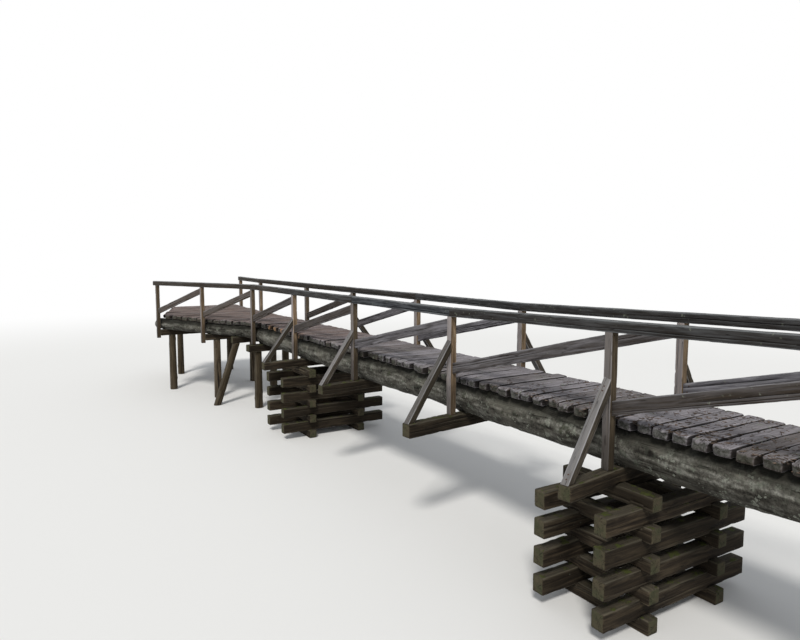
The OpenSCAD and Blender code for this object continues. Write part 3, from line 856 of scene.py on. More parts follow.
def round_ring(around):
    a = np.arange(around) * 2 * np.pi / around
    return np.cos(a), np.sin(a)


def turned(x, y, u, v, turn):
    """The flat places u and v, turned and then moved to x and y."""
    return (x[:, None] + u * np.cos(turn) - v * np.sin(turn),
            y[:, None] + u * np.sin(turn) + v * np.cos(turn))


def flakes(x, y, z, rng, size, thickness, around=8):
    """Ragged chips with blunt ends: an upper and a lower rim of points, each closed by a middle
    point. The root of the sine and the cosine turns the oval outline nearly square."""
    copies = len(x)
    reach = rng.uniform(0.6, 1.15, (copies, around)) * size[:, None] / 2
    narrow = rng.uniform(0.22, 0.5, (copies, 1))
    turn = rng.uniform(0, np.pi, (copies, 1))
    u, v = (reach * np.sign(c) * np.abs(c) ** 0.6 for c in round_ring(around))
    v = v * narrow
    curl = rng.uniform(-0.3, 0.5, (copies, 1)) * u ** 2 / size[:, None]
    lift = curl + rng.normal(0, 0.05, (copies, 1)) * u
    lift = lift - lift.min(1, keepdims=True) + z[:, None]
    place = turned(x, y, u, v, turn)
    lower, upper = columns(*place, lift), columns(*place, lift + thickness[:, None])
    points = np.concatenate([lower, upper, lower.mean(1, keepdims=True),
                             upper.mean(1, keepdims=True) + (0, 0, 0.0008)], 1)
    grain = np.zeros_like(points)
    grain[:, :2 * around] = np.tile(columns(u, v, 0.0), (1, 2, 1))
    return copies_of(points, 2, around, rng, grain + rng.uniform(-30, 30, (copies, 1, 3)))


def twigs(x, y, z, rng, size, thickness, rows=6, around=5):
    """Thin bent rods: rings of points on a curve that lies on the deck, closed by points."""
    copies = len(x)
    s = np.linspace(-0.5, 0.5, rows) * size[:, None]
    turn = rng.uniform(0, np.pi, (copies, 1))
    off = rng.uniform(-1.5, 1.5, (copies, 1)) * s ** 2 + rng.normal(0, 0.002, s.shape)
    line = columns(*turned(x, y, s, off, turn), (z + thickness)[:, None])
    radius = (thickness[:, None] * np.linspace(1.0, 0.55, rows))[..., None]
    ca, sa = round_ring(around)
    turn = turn[..., None]
    ring = line[:, :, None] + columns(-np.sin(turn) * radius * ca, np.cos(turn) * radius * ca,
                                      radius * sa)
    points = np.concatenate([ring.reshape(copies, -1, 3), line[:, [0, -1]]], 1)
    return copies_of(points, rows, around, rng, points * 6.0)


print("a flake has", sum(len(f) for f in tube_faces(2, 8)), "faces")

# %% Strewing the litter
litter_brown = weathered_wood(
    "bark litter", (36, 26, 20), (78, 60, 47), (122, 100, 82), (86, 70, 56), (146, 136, 128),
    (48, 38, 30), bleached=0.35, band=0.008, cracks=0.3, moss=0.05, lichen=0.1, depth=0.0006,
    sun=(0, 0, 0.8))
FLAKES, TWIGS = 1100, 110
rng = np.random.default_rng(77)
low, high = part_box("deck_bay_5")
littered = ["deck_bay_4_planks", "deck_bay_5_planks"]


def strewn(count, rng):
    """Places on top of the planks: thicker toward the right end and along both edges."""
    start, end = low[0] - 2.2, high[0] - 0.2
    near_edge, far_edge = low[1] + 0.05, high[1] - 0.05
    x = start + (end - start) * rng.uniform(0.0, 1.0, count) ** 0.7
    y = near_edge + (far_edge - near_edge) * rng.beta(0.55, 0.8, count)
    return x, y, tops_under(littered, x, y)


places = strewn(FLAKES, rng)
size = 0.012 + 0.055 * rng.uniform(0, 1, FLAKES) ** 1.8
flake_part = flakes(*places, rng, size, rng.uniform(0.0015, 0.004, FLAKES))
places = strewn(TWIGS, rng)
twig_part = twigs(*places, rng, rng.uniform(0.05, 0.17, TWIGS),
                  rng.uniform(0.0018, 0.004, TWIGS))
make_piece("deck_litter_bark_and_twigs", [flake_part, twig_part], litter_brown)
print("litter:", made["deck_litter_bark_and_twigs"], "triangles on", littered)

# %% [markdown]
# ## Posts, rails, braces and struts
#
# These are squared timbers of different sizes. A post runs upward, a rail along the bridge and a
# brace slopes from the deck to the rail, so each gets its own direction before its corners are
# read from the frame. Sun and rain have turned them grey in different amounts: each kind has its
# own colours, and single posts and braces differ from their neighbours by a tone, which is partly
# their own colour and partly painted shade.

# %% Materials of the railing
post_wood = weathered_wood(
    "squared post", (70, 56, 42), (112, 94, 74), (150, 130, 106), (100, 94, 82), (156, 154, 159),
    (84, 76, 62), bleached=0.7, band=0.02, lichen=0.35, arris=0.45, foot=1.72,
    sun=(-0.5, -0.8, 0.3), vary=0.3)
rail_wood = weathered_wood(
    "weathered rail", (20, 22, 24), (38, 40, 44), (61, 65, 69), (76, 76, 72), (120, 123, 125),
    (54, 46, 37), bleached=0.6, band=0.026, cracks=0.5, lichen=0.45, arris=0.7,
    sun=(0, -0.15, 0.75), browner=(-3.0, 1.0))
brace_wood = weathered_wood(
    "brace board", (48, 46, 47), (82, 80, 84), (118, 116, 122), (96, 90, 80), (154, 154, 159),
    (62, 51, 37), cracks=0.5, moss=0.05, arris=0.55, sun=(-0.1, -0.3, 0.8), vary=0.28,
    browner=(-3.0, 1.0))
strut_wood = weathered_wood(
    "raking strut", (42, 37, 32), (74, 68, 60), (106, 99, 89), (96, 90, 80), (154, 154, 157),
    (60, 54, 44), bleached=0.5, cracks=0.55, moss=0.04, lichen=0.25, arris=0.75,
    sun=(-0.3, -1.0, 0.1), browner=(-2.0, 1.5))

# %% Railing
# Tones judged one by one: -1 is the darkest and brownest timber of its kind and 1 the palest.
# A low tone here is partly the timber's own colour and partly painted shade.
POST_TONES_AND_SHADE = {"near_post_2": 0.3, "near_post_4": 0.7, "near_post_5": -0.8, "near_post_6": 0.5,
              "near_post_7": -1.0}
NEAR_BRACE_TONES_AND_SHADE = [None, None, -0.7, -1.0, 0.2, -0.3, -1.0]


def long_axis(points):
    """The horizontal direction in which the timber is longest."""
    flat = points[:, :2] - points[:, :2].mean(0)
    direction = np.linalg.svd(flat, full_matrices=False)[2][0]
    return np.array([*(direction * np.sign(direction[0])), 0.0])


def post_corners(points):
    return eight_corners(points, (0, 0, 1), (0, 1, 0))


def rail_corners(points):
    return eight_corners(points, long_axis(points), (0, 0, 1))


def brace_corners(points):
    return eight_corners(points, long_axis(points) * 2.2 + (0, 0, 0.7), (0, 0, 1))


def near_strut(points):
    return eight_corners(points, (0, 0.6, 0.95), (0, -1, 0))


def far_strut(points):
    return eight_corners(points, (0, -0.6, 0.95), (0, 1, 0))


for i in range(1, 9):
    for side, line in enumerate(("near", "far")):
        name = "%s_post_%d" % (line, i)
        dress(name, "_timber", post_wood, "post", post_corners, 900 + 10 * i + side, step=0.03,
              counts=(4, 4, 4, 4), checks=(0, 1, 1, 2, 3), rounding=(0.004, 0.004), radius=0.006,
              tones=[POST_TONES_AND_SHADE.get(name)])
for line, shift, tones, strut_corners in (("near", 0, NEAR_BRACE_TONES_AND_SHADE, near_strut),
                                          ("far", 50, None, far_strut)):
    dress(line + "_top_rail", "_timbers", rail_wood, "rail", rail_corners, 1200 + shift,
          counts=(3, 4, 4, 4), radius=0.009, wave=(0.004, 0.004), wave_size=0.6, chips=0.014,
          checks=(1, 2, 3), check_depth=0.016, check_width=0.006, rounding=(0.005, 0.005),
          bend=0.004)
    dress(line + "_braces", "_boards", brace_wood, "brace", brace_corners, 1300 + shift,
          counts=(1, 4, 1, 4), radius=0.004, wave=(0.003, 0.004), chips=0.009,
          checks=(1, 1, 3, 3), check_depth=0.01, rounding=(0.003, 0.003), bend=0.004, tones=tones)
    dress(line + "_struts", "_timbers", strut_wood, "brace", strut_corners, 1400 + shift,
          counts=(4, 4, 4, 4), checks=(0, 1, 2, 3, 3), rounding=(0.003, 0.003))
print("railing pieces:", len(made))

# %% Cross timbers
dark_timber = weathered_wood(
    "damp timber", (22, 18, 14), (46, 39, 31), (76, 66, 52), (86, 79, 63), (100, 96, 84),
    (38, 32, 24), bleached=0.35, band=0.03, moss=0.34, lichen=0.2, arris=0.35, depth=0.002,
    sun=(0, -0.1, 0.75), algae=0.6)
HEWN = {"counts": (3, 3, 3, 3), "radius": 0.01, "wave": (0.006, 0.003), "chips": 0.018,
        "checks": (1, 3), "check_depth": 0.02}
for i in range(1, 5):
    dress("outrigger_%d" % i, "_timber", dark_timber, "dark_timber", across_bridge, 1500 + i,
          counts=(5, 5, 5, 5), radius=0.01, wave=(0.005, 0.004), chips=0.018,
          checks=(0, 1, 1, 2, 3, 3), check_depth=0.02, rounding=(0.014, 0.014))
for name in ("cap_beams", "landing_sill_beams", "left_crib_cross_timbers",
             "right_crib_cross_timbers"):
    dress(name, "_hewn", dark_timber, "dark_timber", across_bridge, 1600 + len(name), 31,
          step=0.06, rounding=(0.012, 0.012), **HEWN)
print("cross timbers:", made["cap_beams_hewn"], "triangles on the cap beams")

# %% [markdown]
# ## The cribs
#
# Each crib is a stack of timbers that lie along and across in turn. Where they cross, both are
# notched, so that the stack can't slide. The notches of the frame are found as steps in the
# lowest and highest corners of each timber, and rings on both sides of every step keep them sharp.

# %% Notched timbers
DEEPEST_NOTCH = 0.06


def notched(points, step=0.06, rounding=0.012):
    """Rings of a timber along X whose underside and top step in and out: a pair of rings 2 mm
    apart at each step, and between them the underside and top that the frame has there."""
    low, high = points.min(0), points.max(0)
    levels = np.diff(np.unique(np.round(points[:, 2], 3)))[[0, -1]]
    below, above = np.where(levels < DEEPEST_NOTCH, levels, 0.0)
    steps = np.unique(np.round(points[:, 0], 3))[1:-1] - low[0]
    x, inset = ring_places(high[0] - low[0], step, (rounding, rounding))
    pairs = (steps[:, None] + [-0.001, 0.001]).ravel()
    x, inset = np.concatenate([x, pairs]), np.concatenate([inset, pairs * 0])
    order = np.argsort(x)
    x, inset = x[order], inset[order]
    cut = np.searchsorted(steps, x) % 2 == 1
    frames = np.empty((len(x), 2, 2, 3))
    frames[..., 0] = (low[0] + x)[:, None, None]
    frames[:, :, 0, 1], frames[:, :, 1, 1] = high[1], low[1]
    frames[:, 0, :, 2] = (low[2] + cut * below)[:, None]
    frames[:, 1, :, 2] = (high[2] - cut * above)[:, None]
    return x, inset, frames


for name, seed in (("left_crib_long_timbers", 1901), ("right_crib_long_timbers", 1900)):
    parts = [timber(eight_corners(p, (1, 0, 0), (0, 0, 1)), seed + 13 * k, notches=notched(p),
                    **HEWN) for k, p in enumerate(timbers_of(name))]
    make_piece(name + "_hewn", parts, dark_timber, name)
print("crib timbers:", made["left_crib_long_timbers_hewn"], "triangles a side")

# %% [markdown]
# ## Round poles
#
# The piles, the legs of the landing and the leaning prop are peeled poles. Their rings are level,
# so that a leaning pole is cut level at its foot and head by itself. Knots stand out a little and
# drying cracks run along them.

# %% Poles
def turn_from(angle, first):
    """The turn from the first angle to the other, between minus and plus half a turn."""
    return np.angle(np.exp(1j * (angle - first)))


def pole(points, seed, step=0.045, around=26):
    """Level rings from the foot to the head: at each angle the radius swells at knots, sinks in
    cracks and waves a little. The frame gives the centre and the two radii at both ends."""
    rng = np.random.default_rng(seed)
    z = points[:, 2]
    ends = [points[np.abs(z - level) < 0.001] for level in (z.min(), z.max())]
    foot, head = ((e.min(0) + e.max(0)) / 2 for e in ends)
    foot_size, head_size = ((e.max(0) - e.min(0))[:2] / 2 for e in ends)
    length = np.linalg.norm(head - foot)
    x, inset = ring_places(length, step, (0.008, 0.008))
    u = (x / length)[:, None]
    X, A = np.meshgrid(x, np.arange(around) * 2 * np.pi / around, indexing="ij")
    ca, sa = np.cos(A), np.sin(A)
    off = rng.uniform(-40, 40)
    swell = 0.035 * rough(X * 0.5 + off, ca * 0.5, sa * 0.5, 0.35, seed, 3)
    for _ in range(int(rng.integers(3, 6))):
        at, angle = rng.uniform(0.1, 0.95) * length, rng.uniform(0, 2 * np.pi)
        swell += 0.12 * np.exp(-np.hypot((X - at) / 0.05, turn_from(A, angle) / 0.4) ** 2)
    split = np.zeros_like(X)
    for _ in range(4):
        at, angle = rng.uniform(0, 1) * length, rng.uniform(0, 2 * np.pi)
        reach = rng.uniform(0.2, 0.5) * length
        angle = angle + 0.25 * (X - at) + 0.08 * rough(X + off, 0.0, 0.0, 0.3, seed + 2, 2)
        window = np.clip((reach - np.abs(X - at)) / (0.3 * reach), 0, 1)
        split = np.maximum(split, window * np.exp(-(turn_from(A, angle) / 0.14) ** 2))
    size = foot_size + (head_size - foot_size) * u
    radius = (1 + swell - 0.10 * split)[..., None] * (size - inset[:, None])[:, None]
    rings = (foot + (head - foot) * u)[:, None] + columns(radius[..., 0] * ca,
                                                          radius[..., 1] * sa, 0.0)
    rings[0, :, 2], rings[-1, :, 2] = foot[2], head[2]
    part, take, share = close_rings(rings)
    scale = share * take(size[:, :1])
    part["grain"] = columns(take(X) + off, take(ca) * scale, take(sa) * scale)
    part["marks"] = columns(take(inset[:, None] > 0) * 0.6, take(split) * (share == 1),
                            rng.uniform(-1, 1))
    part["ends"] = columns((share < 1) | take((X == 0) | (X == length)), 0.0, 0.0)
    return part


pole_wood = weathered_wood(
    "peeled pole", (44, 36, 28), (76, 66, 53), (108, 97, 80), (104, 96, 78), (126, 120, 110),
    (60, 52, 38), band=0.025, moss=0.18, depth=0.0015)
for name in ("bridge_piles", "landing_legs", "leaning_prop"):
    make_piece(name + "_poles", [pole(p, 2100 + 11 * k + len(name))
                                 for k, p in enumerate(timbers_of(name))], pole_wood, name)
print("poles:", made["bridge_piles_poles"] + made["landing_legs_poles"])

# %% [markdown]
# ## The logs
#
# The two stringers and three landing logs keep their natural form: they taper, wave and swell, and
# are flat only where planks lie on them and where they sit on a timber. The surface repeats the
# formula of the frame's logs on a much finer grid and adds what bark does: ridges along the log,
# flakes that have come away, knots and soft mossy lumps. Shrinkwrapping a subdivided cylinder to
# the frame would round off the seats; the formula keeps them true.

# %% Log form
# The sizes in metres that the frame's logs were made from. NEAR_LINE has the places of the posts
# along the near edge, and FAR_SHIFT how much farther along the far end of each outrigger lies.
NEAR_LINE = np.array([0, 2.54, 5.16, 7.935, 10.555, 13.155])
FAR_SHIFT = np.array([0, 0.065, 0.175, 0.175, 0.190, 0])
WALK_WIDTH, POST_WIDTH, CAP_WIDTH = 1.375, 0.092, 0.240
LOG, LOG_CUT, LANDING_LOG, LANDING_CUT = 0.430, 0.030, 0.290, 0.012
OUTRIGGER_WIDTH, SILL_WIDTH, LOG_TO_POST = 0.150, 0.160, 0.055
LOG_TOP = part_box("near_stringer_log")[1][2]
MIDDLE = np.array([*(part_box("near_post_3")[0][k] + POST_WIDTH / 2 for k in (0, 1)), 0])
LIFT, SHOULDER, HEWN_SHARE, SEAT_SHARE, STRINGER_SEAT = 0.003, 0.02, 0.035, 0.06, 0.34


def log_grid(length, step, seats):
    """Even ring places, with a pair at the edge and at the shoulder of every seat."""
    even = np.linspace(0, length, int(round(length / step)) + 1)
    extra = [s + k * (half + e) for s, half in seats for k in (-1, 1) for e in (0, SHOULDER)]
    x = np.unique(np.round(np.concatenate([even, extra]), 4))
    return x[(x >= 0) & (x <= length)]


def wave(degrees):
    return np.sin(np.radians(degrees))


def log_part(length, d, bearing, seed, seats, origin, along, swell_at=-9.0, step=0.03, around=80,
             lumpy=1.0, mirrored=False):
    """Radius r at x along and at angle a round the log, as the frame has it: taper, two waves,
    a section a little out of round and one swelling. Then y = r cos a + a slow bend, and
    z = r sin a under the hewn top; flat at the top and over each seat."""
    rng = np.random.default_rng(seed)
    x = log_grid(length, step, seats)
    X, A = np.meshgrid(x, np.arange(around) * 2 * np.pi / around, indexing="ij")
    mm, deg = X * 1000, np.degrees(A)
    r = d / 2 * (1.035 - 0.06 * X / length + 0.018 * wave(mm * 0.19 + seed * 77)
                 + 0.014 * wave(mm * 0.47 + 2 * deg + seed * 31)
                 + 0.016 * wave(3 * deg + mm * 0.13 + seed * 53)
                 + 0.07 * np.exp(-((X - swell_at) / 0.48) ** 2) * (0.5 - 0.5 * wave(deg + 20)))
    ca, sa = np.cos(A), np.sin(A)
    gy, gz = ca * d / 2, sa * d / 2
    ridge = rough(X * 0.16 + seed, gy, gz, 0.035, seed, 3, 0.6)
    flake = np.clip(rough(X * 0.6 + 9 * seed, gy, gz, 0.16, seed + 4, 3) * 4 - 0.4, 0, 1)
    lump = np.clip(rough(X * 0.8 + 5 * seed, gy, gz, 0.24, seed + 8, 3) * 2.2 - 0.15, 0, 1)
    bark = 0.004 * ridge * (1 - flake) - 0.005 * flake + 0.020 * lumpy * lump
    for _ in range(int(length / 0.9)):
        at, angle = rng.uniform(0.2, length - 0.2), rng.uniform(0, 2 * np.pi)
        far = np.hypot((X - at) / 0.07, turn_from(A, angle) * d / 2 / 0.06)
        bark = bark + 0.024 * np.exp(-far ** 2) - 0.02 * np.exp(-(far / 0.4) ** 2)
    y = (r + bark) * ca + 0.022 * wave(mm * 0.055 + seed * 40)
    z = (r + bark) * sa - bearing / 2 + LIFT
    hewn = r * sa - bearing / 2 + LIFT > -HEWN_SHARE * d
    z = np.where(hewn, 0, np.minimum(z, -0.001))
    for s, half in seats:
        free = np.clip((np.abs(X - s) - half - 0.0002) / SHOULDER, 0, 1)
        z = np.where(z < -bearing + SEAT_SHARE * d, -bearing + (z + bearing) * free, z)
    across = np.cross((0, 0, 1), along) * (-1 if mirrored else 1)
    rings = (np.asarray(origin) + X[..., None] * np.asarray(along) + y[..., None] * across
             + z[..., None] * np.array([0, 0, 1]))
    part, take, share = close_rings(rings)
    whole = share == 1
    part["grain"] = columns(take(X) + seed * 3.7, take(gy) * share, take(gz) * share)
    part["marks"] = columns(*(take(v) for v in (ridge, flake, lump))) * whole[:, None]
    part["ends"] = columns(1.0 - whole, 0.0, 0.0)
    return part


def stringer(seed, y, step, around):
    """Seats over the four askew outriggers, longer where they lie more askew, and two over the
    cap beams. x is measured from the end of the log, a third of a cap beam past the span."""
    over, half_seat = CAP_WIDTH / 3, LOG * STRINGER_SEAT
    askew = np.arctan2(FAR_SHIFT[1:5], WALK_WIDTH)
    seats = [*zip(NEAR_LINE[1:5] - y * np.tan(askew) + over,
                  (OUTRIGGER_WIDTH / 2 + half_seat * np.sin(askew)) / np.cos(askew) + 0.006),
             (over, CAP_WIDTH / 2), (NEAR_LINE[5] + over, CAP_WIDTH / 2)]
    return log_part(NEAR_LINE[5] + 2 * over, LOG, LOG - LOG_CUT, seed, seats,
                    MIDDLE + (-over, y, LOG_TOP), (1, 0, 0), NEAR_LINE[2] + 1.0, step, around)


print("logs lie from", np.round(MIDDLE, 4), "under a top at", round(LOG_TOP, 3))

# %% [markdown]
# ## Bark
#
# The logs have the most varied surface of the bridge: furrowed bark, bare wood where flakes have
# gone, pale crusts of lichen, moss on the lumps, painted shade on their undersides and a dark band
# of painted shade under the planks. All of it could be painted by noise alone, but then the moss
# would miss the lumps. So the material reads the ridges, flakes and lumps that the log form has
# marked on every point.

# %% Material: bark
def log_bark(name):
    """Dark furrows and lighter ridges that run along the log, bare grey wood where flakes are
    gone, painted shade on what faces down and in cracks, wide lichen patches, moss on lumps and
    upper sides, and a dark band of painted shade just under the deck."""
    material, grain, (ridge, flake, lump), (cut, _, _), place, facing = start_wood(name)
    upward = three(facing)[2]
    streak, fine, crack = use(fibre_group, Place=grain, Band=0.05, Cracks=0.6)
    ring, star = use(ring_group, Place=grain, Ring=0.009)
    patch = cloud(place, 8.0, 7.0, 0.72)
    colour = ramp(patch * 0.70 + (ridge * 0.3 + streak * 0.3), 0.3, 0.72, (28, 26, 23),
                  (78, 76, 70), (130, 129, 122))
    colour = colour * (rise(cloud(place, 42.0, 4.0, 0.7), 0.3, 0.7) * 0.9 + 0.55)
    colour = blend(flake * rise(fine, 0.3, 0.6) * 0.7, colour, (112, 109, 100))
    colour = blend(cut * (ring * 0.4 + 0.6), colour, (104, 95, 78))
    # Painted shade: what faces down is darker.
    colour = blend(rise(upward * -1.0, -0.35, 0.85) * 0.6, colour, (30, 28, 24))
    # Painted shade in the cracks of the bark.
    gap = use(gap_group, Crack=crack, Star=star, Cut=cut)
    colour = blend(gap, colour, (22, 20, 16))
    wide, wide_tone = use(lichen_group, Place=place, Size=0.07, Amount=0.8)
    small, _ = use(lichen_group, Place=place, Size=0.026, Amount=0.95)
    colour = blend(larger(wide * 0.5, small * 0.75), colour,
                   blend(wide_tone, (90, 96, 84), (146, 149, 138)))
    green, green_tone, cushion = use(moss_group, Place=place, Upward=upward,
                                     Amount=lump * 0.3 + 0.27, Size=0.16)
    film, _, _ = use(moss_group, Place=place, Upward=upward, Amount=0.66, Size=0.06)
    colour = blend(film * 0.25, colour, (78, 82, 72))
    colour = blend(green * 0.75, colour, blend(green_tone, (38, 40, 31), (78, 82, 64)))
    # Painted shade: a dark band along the top of the log, just under the deck, where the planks
    # shade it.
    damp_and_shade = rise(patch * 0.07 + three(place)[2], LOG_TOP - 0.10, LOG_TOP - 0.01)
    colour = blend(damp_and_shade * 0.85, colour, (23, 22, 18))
    height = streak * 0.8 + fine * 0.6 - gap * 1.2 + cushion * 2.0
    finish_material(colour, 0.92, height, 0.004)
    return material


bark = log_bark("log bark")
INSET = LOG / 2 + POST_WIDTH / 2 + LOG_TO_POST
for name, *sizes in (("near_stringer_log", 1, INSET, 0.027, 96),
                     ("far_stringer_log", 4, WALK_WIDTH - INSET, 0.04, 72)):
    make_piece(name + "_bark", [stringer(*sizes)], bark, name)
print("stringers:", made["near_stringer_log_bark"], made["far_stringer_log_bark"], "triangles")

# %% Landing logs
# A log begins START from the first post line and ends SHORT of the landing's end. How far the near
# and the far log lie in from the posts, and how long a seat is, are shares of their thickness.
LANDING_BAY, LANDING_LENGTH, RAIL_OVER = 1.820, 5.98, 0.12
START, SHORT, LANDING_SEAT, SEAT_CLEAR = 0.15, 0.06, 0.22, 0.008
NEAR_LOG_IN, NEAR_LOG_CLEAR, FAR_LOG_IN = 0.54, 0.012, 0.62
TURN = np.radians(24)
MIDDLE_LOG_Y = WALK_WIDTH / 2 + 0.02
FAR_LOG_Y = WALK_WIDTH - POST_WIDTH / 2 - LANDING_LOG * FAR_LOG_IN
sills = sorted([(p[:, 0].min() + p[:, 0].max()) / 2 for p in timbers_of("landing_sill_beams")])
sills = np.array(sills[::-1]) - MIDDLE[0]
flare = np.array([np.cos(TURN), np.sin(TURN)])
inset = POST_WIDTH / 2 * flare.sum() + LANDING_LOG * NEAR_LOG_IN + NEAR_LOG_CLEAR
seats = [((-s - inset * flare[1]) / flare[0] - START,
          SILL_WIDTH / 2 / flare[0] + LANDING_LOG * LANDING_SEAT * flare[1] / flare[0] + 0.01)
         for s in sills[:3]]
along = np.array([*-flare, 0])
origin = MIDDLE + START * along + inset * np.array([-flare[1], flare[0], 0]) + (0, 0, LOG_TOP)
SIZE = LANDING_LOG, LANDING_LOG - LANDING_CUT
make_piece("landing_near_log_bark", [log_part(
    2 * (LANDING_BAY + RAIL_OVER) - START, *SIZE, 7, seats, origin, along, around=64, lumpy=0.8)],
    bark, "landing_near_log")
for name, seed, y in (("landing_middle_log", 3, MIDDLE_LOG_Y), ("landing_far_log", 9, FAR_LOG_Y)):
    seats = [(-s - START, SILL_WIDTH / 2 + SEAT_CLEAR) for s in sills]
    make_piece(name + "_bark", [log_part(
        LANDING_LENGTH - START - SHORT, *SIZE, seed, seats, MIDDLE + (-START, y, LOG_TOP),
        (-1, 0, 0), step=0.045, around=52, lumpy=0.5, mirrored=True)], bark, name)
print("sills at", np.round(sills, 3), "landing logs", made["landing_far_log_bark"])

# %% [markdown]
# ## Spikes
#
# The picture is too coarse to show what holds the timbers together. Split planks on logs are held
# by iron spikes, so each plank gets two over every log, and rails, braces and struts get two at
# each end. Only the heads show: domed, uneven, rusty and driven a little below the wood around
# them. One array makes all the heads of a group, as it does the litter.

# %% Spike heads
HEAD = 0.008


def heads(places, outward, rng, radius=HEAD, around=8):
    """Rings of a foot sunk in the wood, a shoulder and a domed top, closed by two points, built on
    two directions square to outward, which may be one for all or one for each."""
    places = np.asarray(places, float)
    outward = unit(np.broadcast_to(np.asarray(outward, float), places.shape))
    first = unit(np.cross(outward, np.where(np.abs(outward[:, :1]) < 0.9, [[1.0, 0, 0]],
                                            [[0, 1.0, 0]])))
    ca, sa = round_ring(around)
    size = radius * rng.uniform(0.85, 1.15, (len(places), around))
    circle = size[..., None] * (ca[:, None] * first[:, None]
                                + sa[:, None] * np.cross(outward, first)[:, None])
    rows = [places[:, None] + circle * share + (outward * radius * up)[:, None]
            for share, up in ((1.0, -0.5), (1.0, 0.12), (0.6, 0.30), (0.0, -0.5), (0.0, 0.34))]
    points = np.concatenate([*rows[:3], rows[3][:, :1], rows[4][:, :1]], 1)
    return copies_of(points, 3, around, rng, points)


def rusty_iron(name):
    """Dark scale with orange rust where a fine noise is high."""
    material = bpy.data.materials.new(name)
    place = box(cleared(material), "TexCoord").of("Object")
    scale = cloud(place, 260.0, 4.0)
    rust = rise(cloud(place, 9.0) * 0.5 + scale, 0.62, 0.9)
    finish_material(blend(rust, (34, 29, 27), (92, 58, 40)), rust * 0.25 + 0.6, scale, 0.0006,
                    specular=0.5, metallic=0.25)
    return material


iron = rusty_iron("rusty iron")
print("material", iron.name)

# %% Spikes in the deck
rng = np.random.default_rng(31)
parts = []
for name in decks:
    x, y = [], []
    for p in timbers_of(name):
        low, high = p.min(0), p.max(0)
        x0, reach = (low[0] + high[0]) / 2, 0.27 * (high[0] - low[0])
        if name.startswith("landing"):
            near_log_y = origin[1] + (x0 - origin[0]) * flare[1] / flare[0]
            lines = [near_log_y, MIDDLE[1] + MIDDLE_LOG_Y, MIDDLE[1] + FAR_LOG_Y]
        else:
            lines = [MIDDLE[1] + INSET, MIDDLE[1] + WALK_WIDTH - INSET]
        lines = [v for v in lines if low[1] + 0.06 < v < high[1] - 0.06]
        x += [x0 + k * reach for _ in lines for k in (-1, 1)]
        y += [v for v in lines for _ in (0, 1)]
    x, y = x + rng.normal(0, 0.010, len(x)), y + rng.normal(0, 0.018, len(y))
    parts.append(heads(columns(x, y, tops_under([name + "_planks"], x, y)), (0, 0, 1), rng))
make_piece("deck_spike_heads", parts, iron)
print("spike heads in the deck:", made["deck_spike_heads"], "triangles")

# %% Spikes in the railing
parts = []
for line, lean, strut_corners in (("near", 1, near_strut), ("far", -1, far_strut)):
    posts = np.array([np.mean(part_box("%s_post_%d" % (line, i)), axis=0)[:2] for i in range(1, 9)])
    x = (posts[:, 0, None] + [-0.026, 0.022]).ravel()
    y = np.repeat(posts[:, 1], 2) + rng.normal(0, 0.005, 16)
    z = tops_under([line + "_top_rail_timbers"], x, y)
    parts.append(heads(columns(x, y, z), (0, 0, 1), rng))
    for p in timbers_of(line + "_braces"):
        c = brace_corners(p)[:, :, 0 if line == "near" else 1]
        length = np.linalg.norm(c[1] - c[0], axis=1).mean()
        u = np.array([0.055, 0.075, length - 0.055, length - 0.075]) / length
        out = np.cross(c[1, 0] - c[0, 0], c[0, 1] - c[0, 0])
        parts.append(heads(between(c, np.array([0.28, 0.72, 0.28, 0.72]), u),
                           out * np.sign(out[1]) * lean, rng))
    for p in timbers_of(line + "_struts"):
        c = strut_corners(p)
        outer = c[:, 1].mean(1)
        length = np.linalg.norm(outer[1] - outer[0])
        u = np.array([0.06, 0.11, length - 0.09, length - 0.14])[:, None] / length
        parts.append(heads((1 - u) * outer[0] + u * outer[1],
                           (c[:, 1] - c[:, 0]).mean((0, 1)), rng, 0.009))
make_piece("railing_spike_heads", parts, iron)
print("spike heads in the railing:", made["railing_spike_heads"], "triangles")

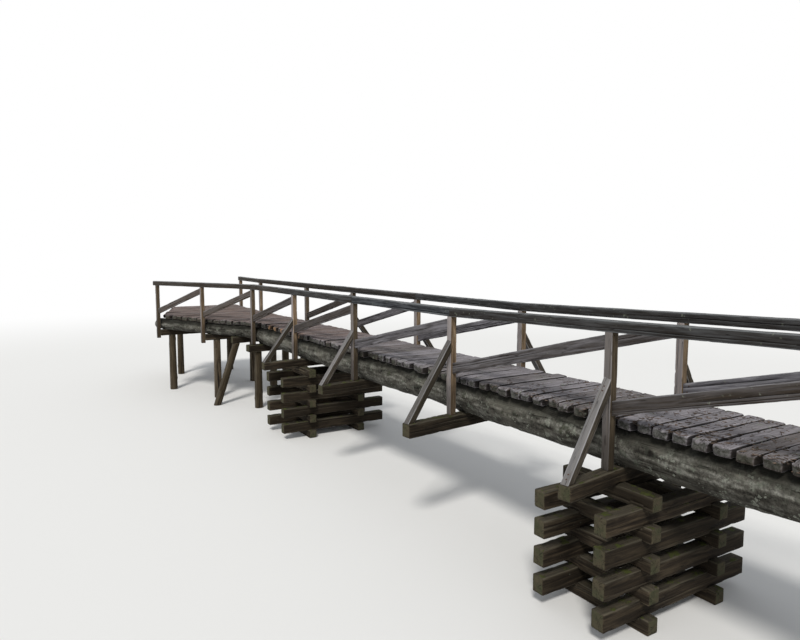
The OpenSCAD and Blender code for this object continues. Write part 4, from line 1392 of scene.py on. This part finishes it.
# %% How far the finer logs lie from the frame's
for name in [n for n in sorted(frame["nodes"]) if n.endswith("_log")]:
    surface = fetch(bpy.data.objects[name + "_bark"].data.vertices, "co")
    corners = np.concatenate(timbers_of(name))[::9]
    worst = max(np.linalg.norm(surface - c, axis=1).min() for c in corners)
    print(name, "is within", round(1000 * worst), "mm of the frame's corners")

# %% [markdown]
# ## Light, floor and finish
#
# One broad lamp and a pale sky light the bridge evenly, as a studio does. The camera sees the sky
# and the far floor as plain white, while the floor near the feet stays matt and keeps the shadow.

# %% Studio
WHITE = (1, 1, 1, 1)
SKY, FLOOR = (0.93, 0.96, 1.0, 1), (0.8, 0.8, 0.79, 1)
FLOOR_HALF = 120.0
lamp = bpy.data.lights.new("key", "SUN")
lamp.energy, lamp.angle, lamp.color = 2.3, np.radians(12), (1.0, 0.97, 0.92)
sun = show("key", lamp)
sun.rotation_mode = "QUATERNION"
sun.rotation_quaternion = Vector((-0.50, 0.46, -0.76)).to_track_quat("-Z", "Y")

world = bpy.data.worlds.new("studio")
bpy.context.scene.world = world
t = cleared(world)
seen = larger(box(t, "LightPath"), box(t, "LightPath").of("Is Glossy Ray"))
soft = box(t, "Background", {"Color": SKY, "Strength": 0.55})
white = box(t, "Background", {"Color": WHITE, "Strength": 1.0})
box(t, "OutputWorld", {0: box(t, "MixShader", {0: seen, 1: soft, 2: white})})

floor_material = bpy.data.materials.new("pale floor")
t = cleared(floor_material)
away = calc("LENGTH", box(t, "TexCoord").of("Object")).of("Value")
fade = rise(away, 14.0, 34.0) * box(t, "LightPath")
matt = box(t, "BsdfDiffuse", {"Color": FLOOR})
glow = box(t, "Emission", {"Color": WHITE, "Strength": 1.0})
box(t, "OutputMaterial", {0: box(t, "MixShader", {0: fade, 1: matt, 2: glow})})
mesh = bpy.data.meshes.new("floor")
mesh.from_pydata([(x * FLOOR_HALF, y * FLOOR_HALF, 0) for x, y, _ in ARRISES], [], [range(4)])
mesh.materials.append(floor_material)
show("floor", mesh)
bpy.context.scene.view_settings.view_transform = "Standard"
print("studio ready")

# %% Finish and count the triangles
bpy.context.view_layer.update()
print("triangles added:", sum(made.values()), "largest", max(made, key=made.get), max(made.values()))
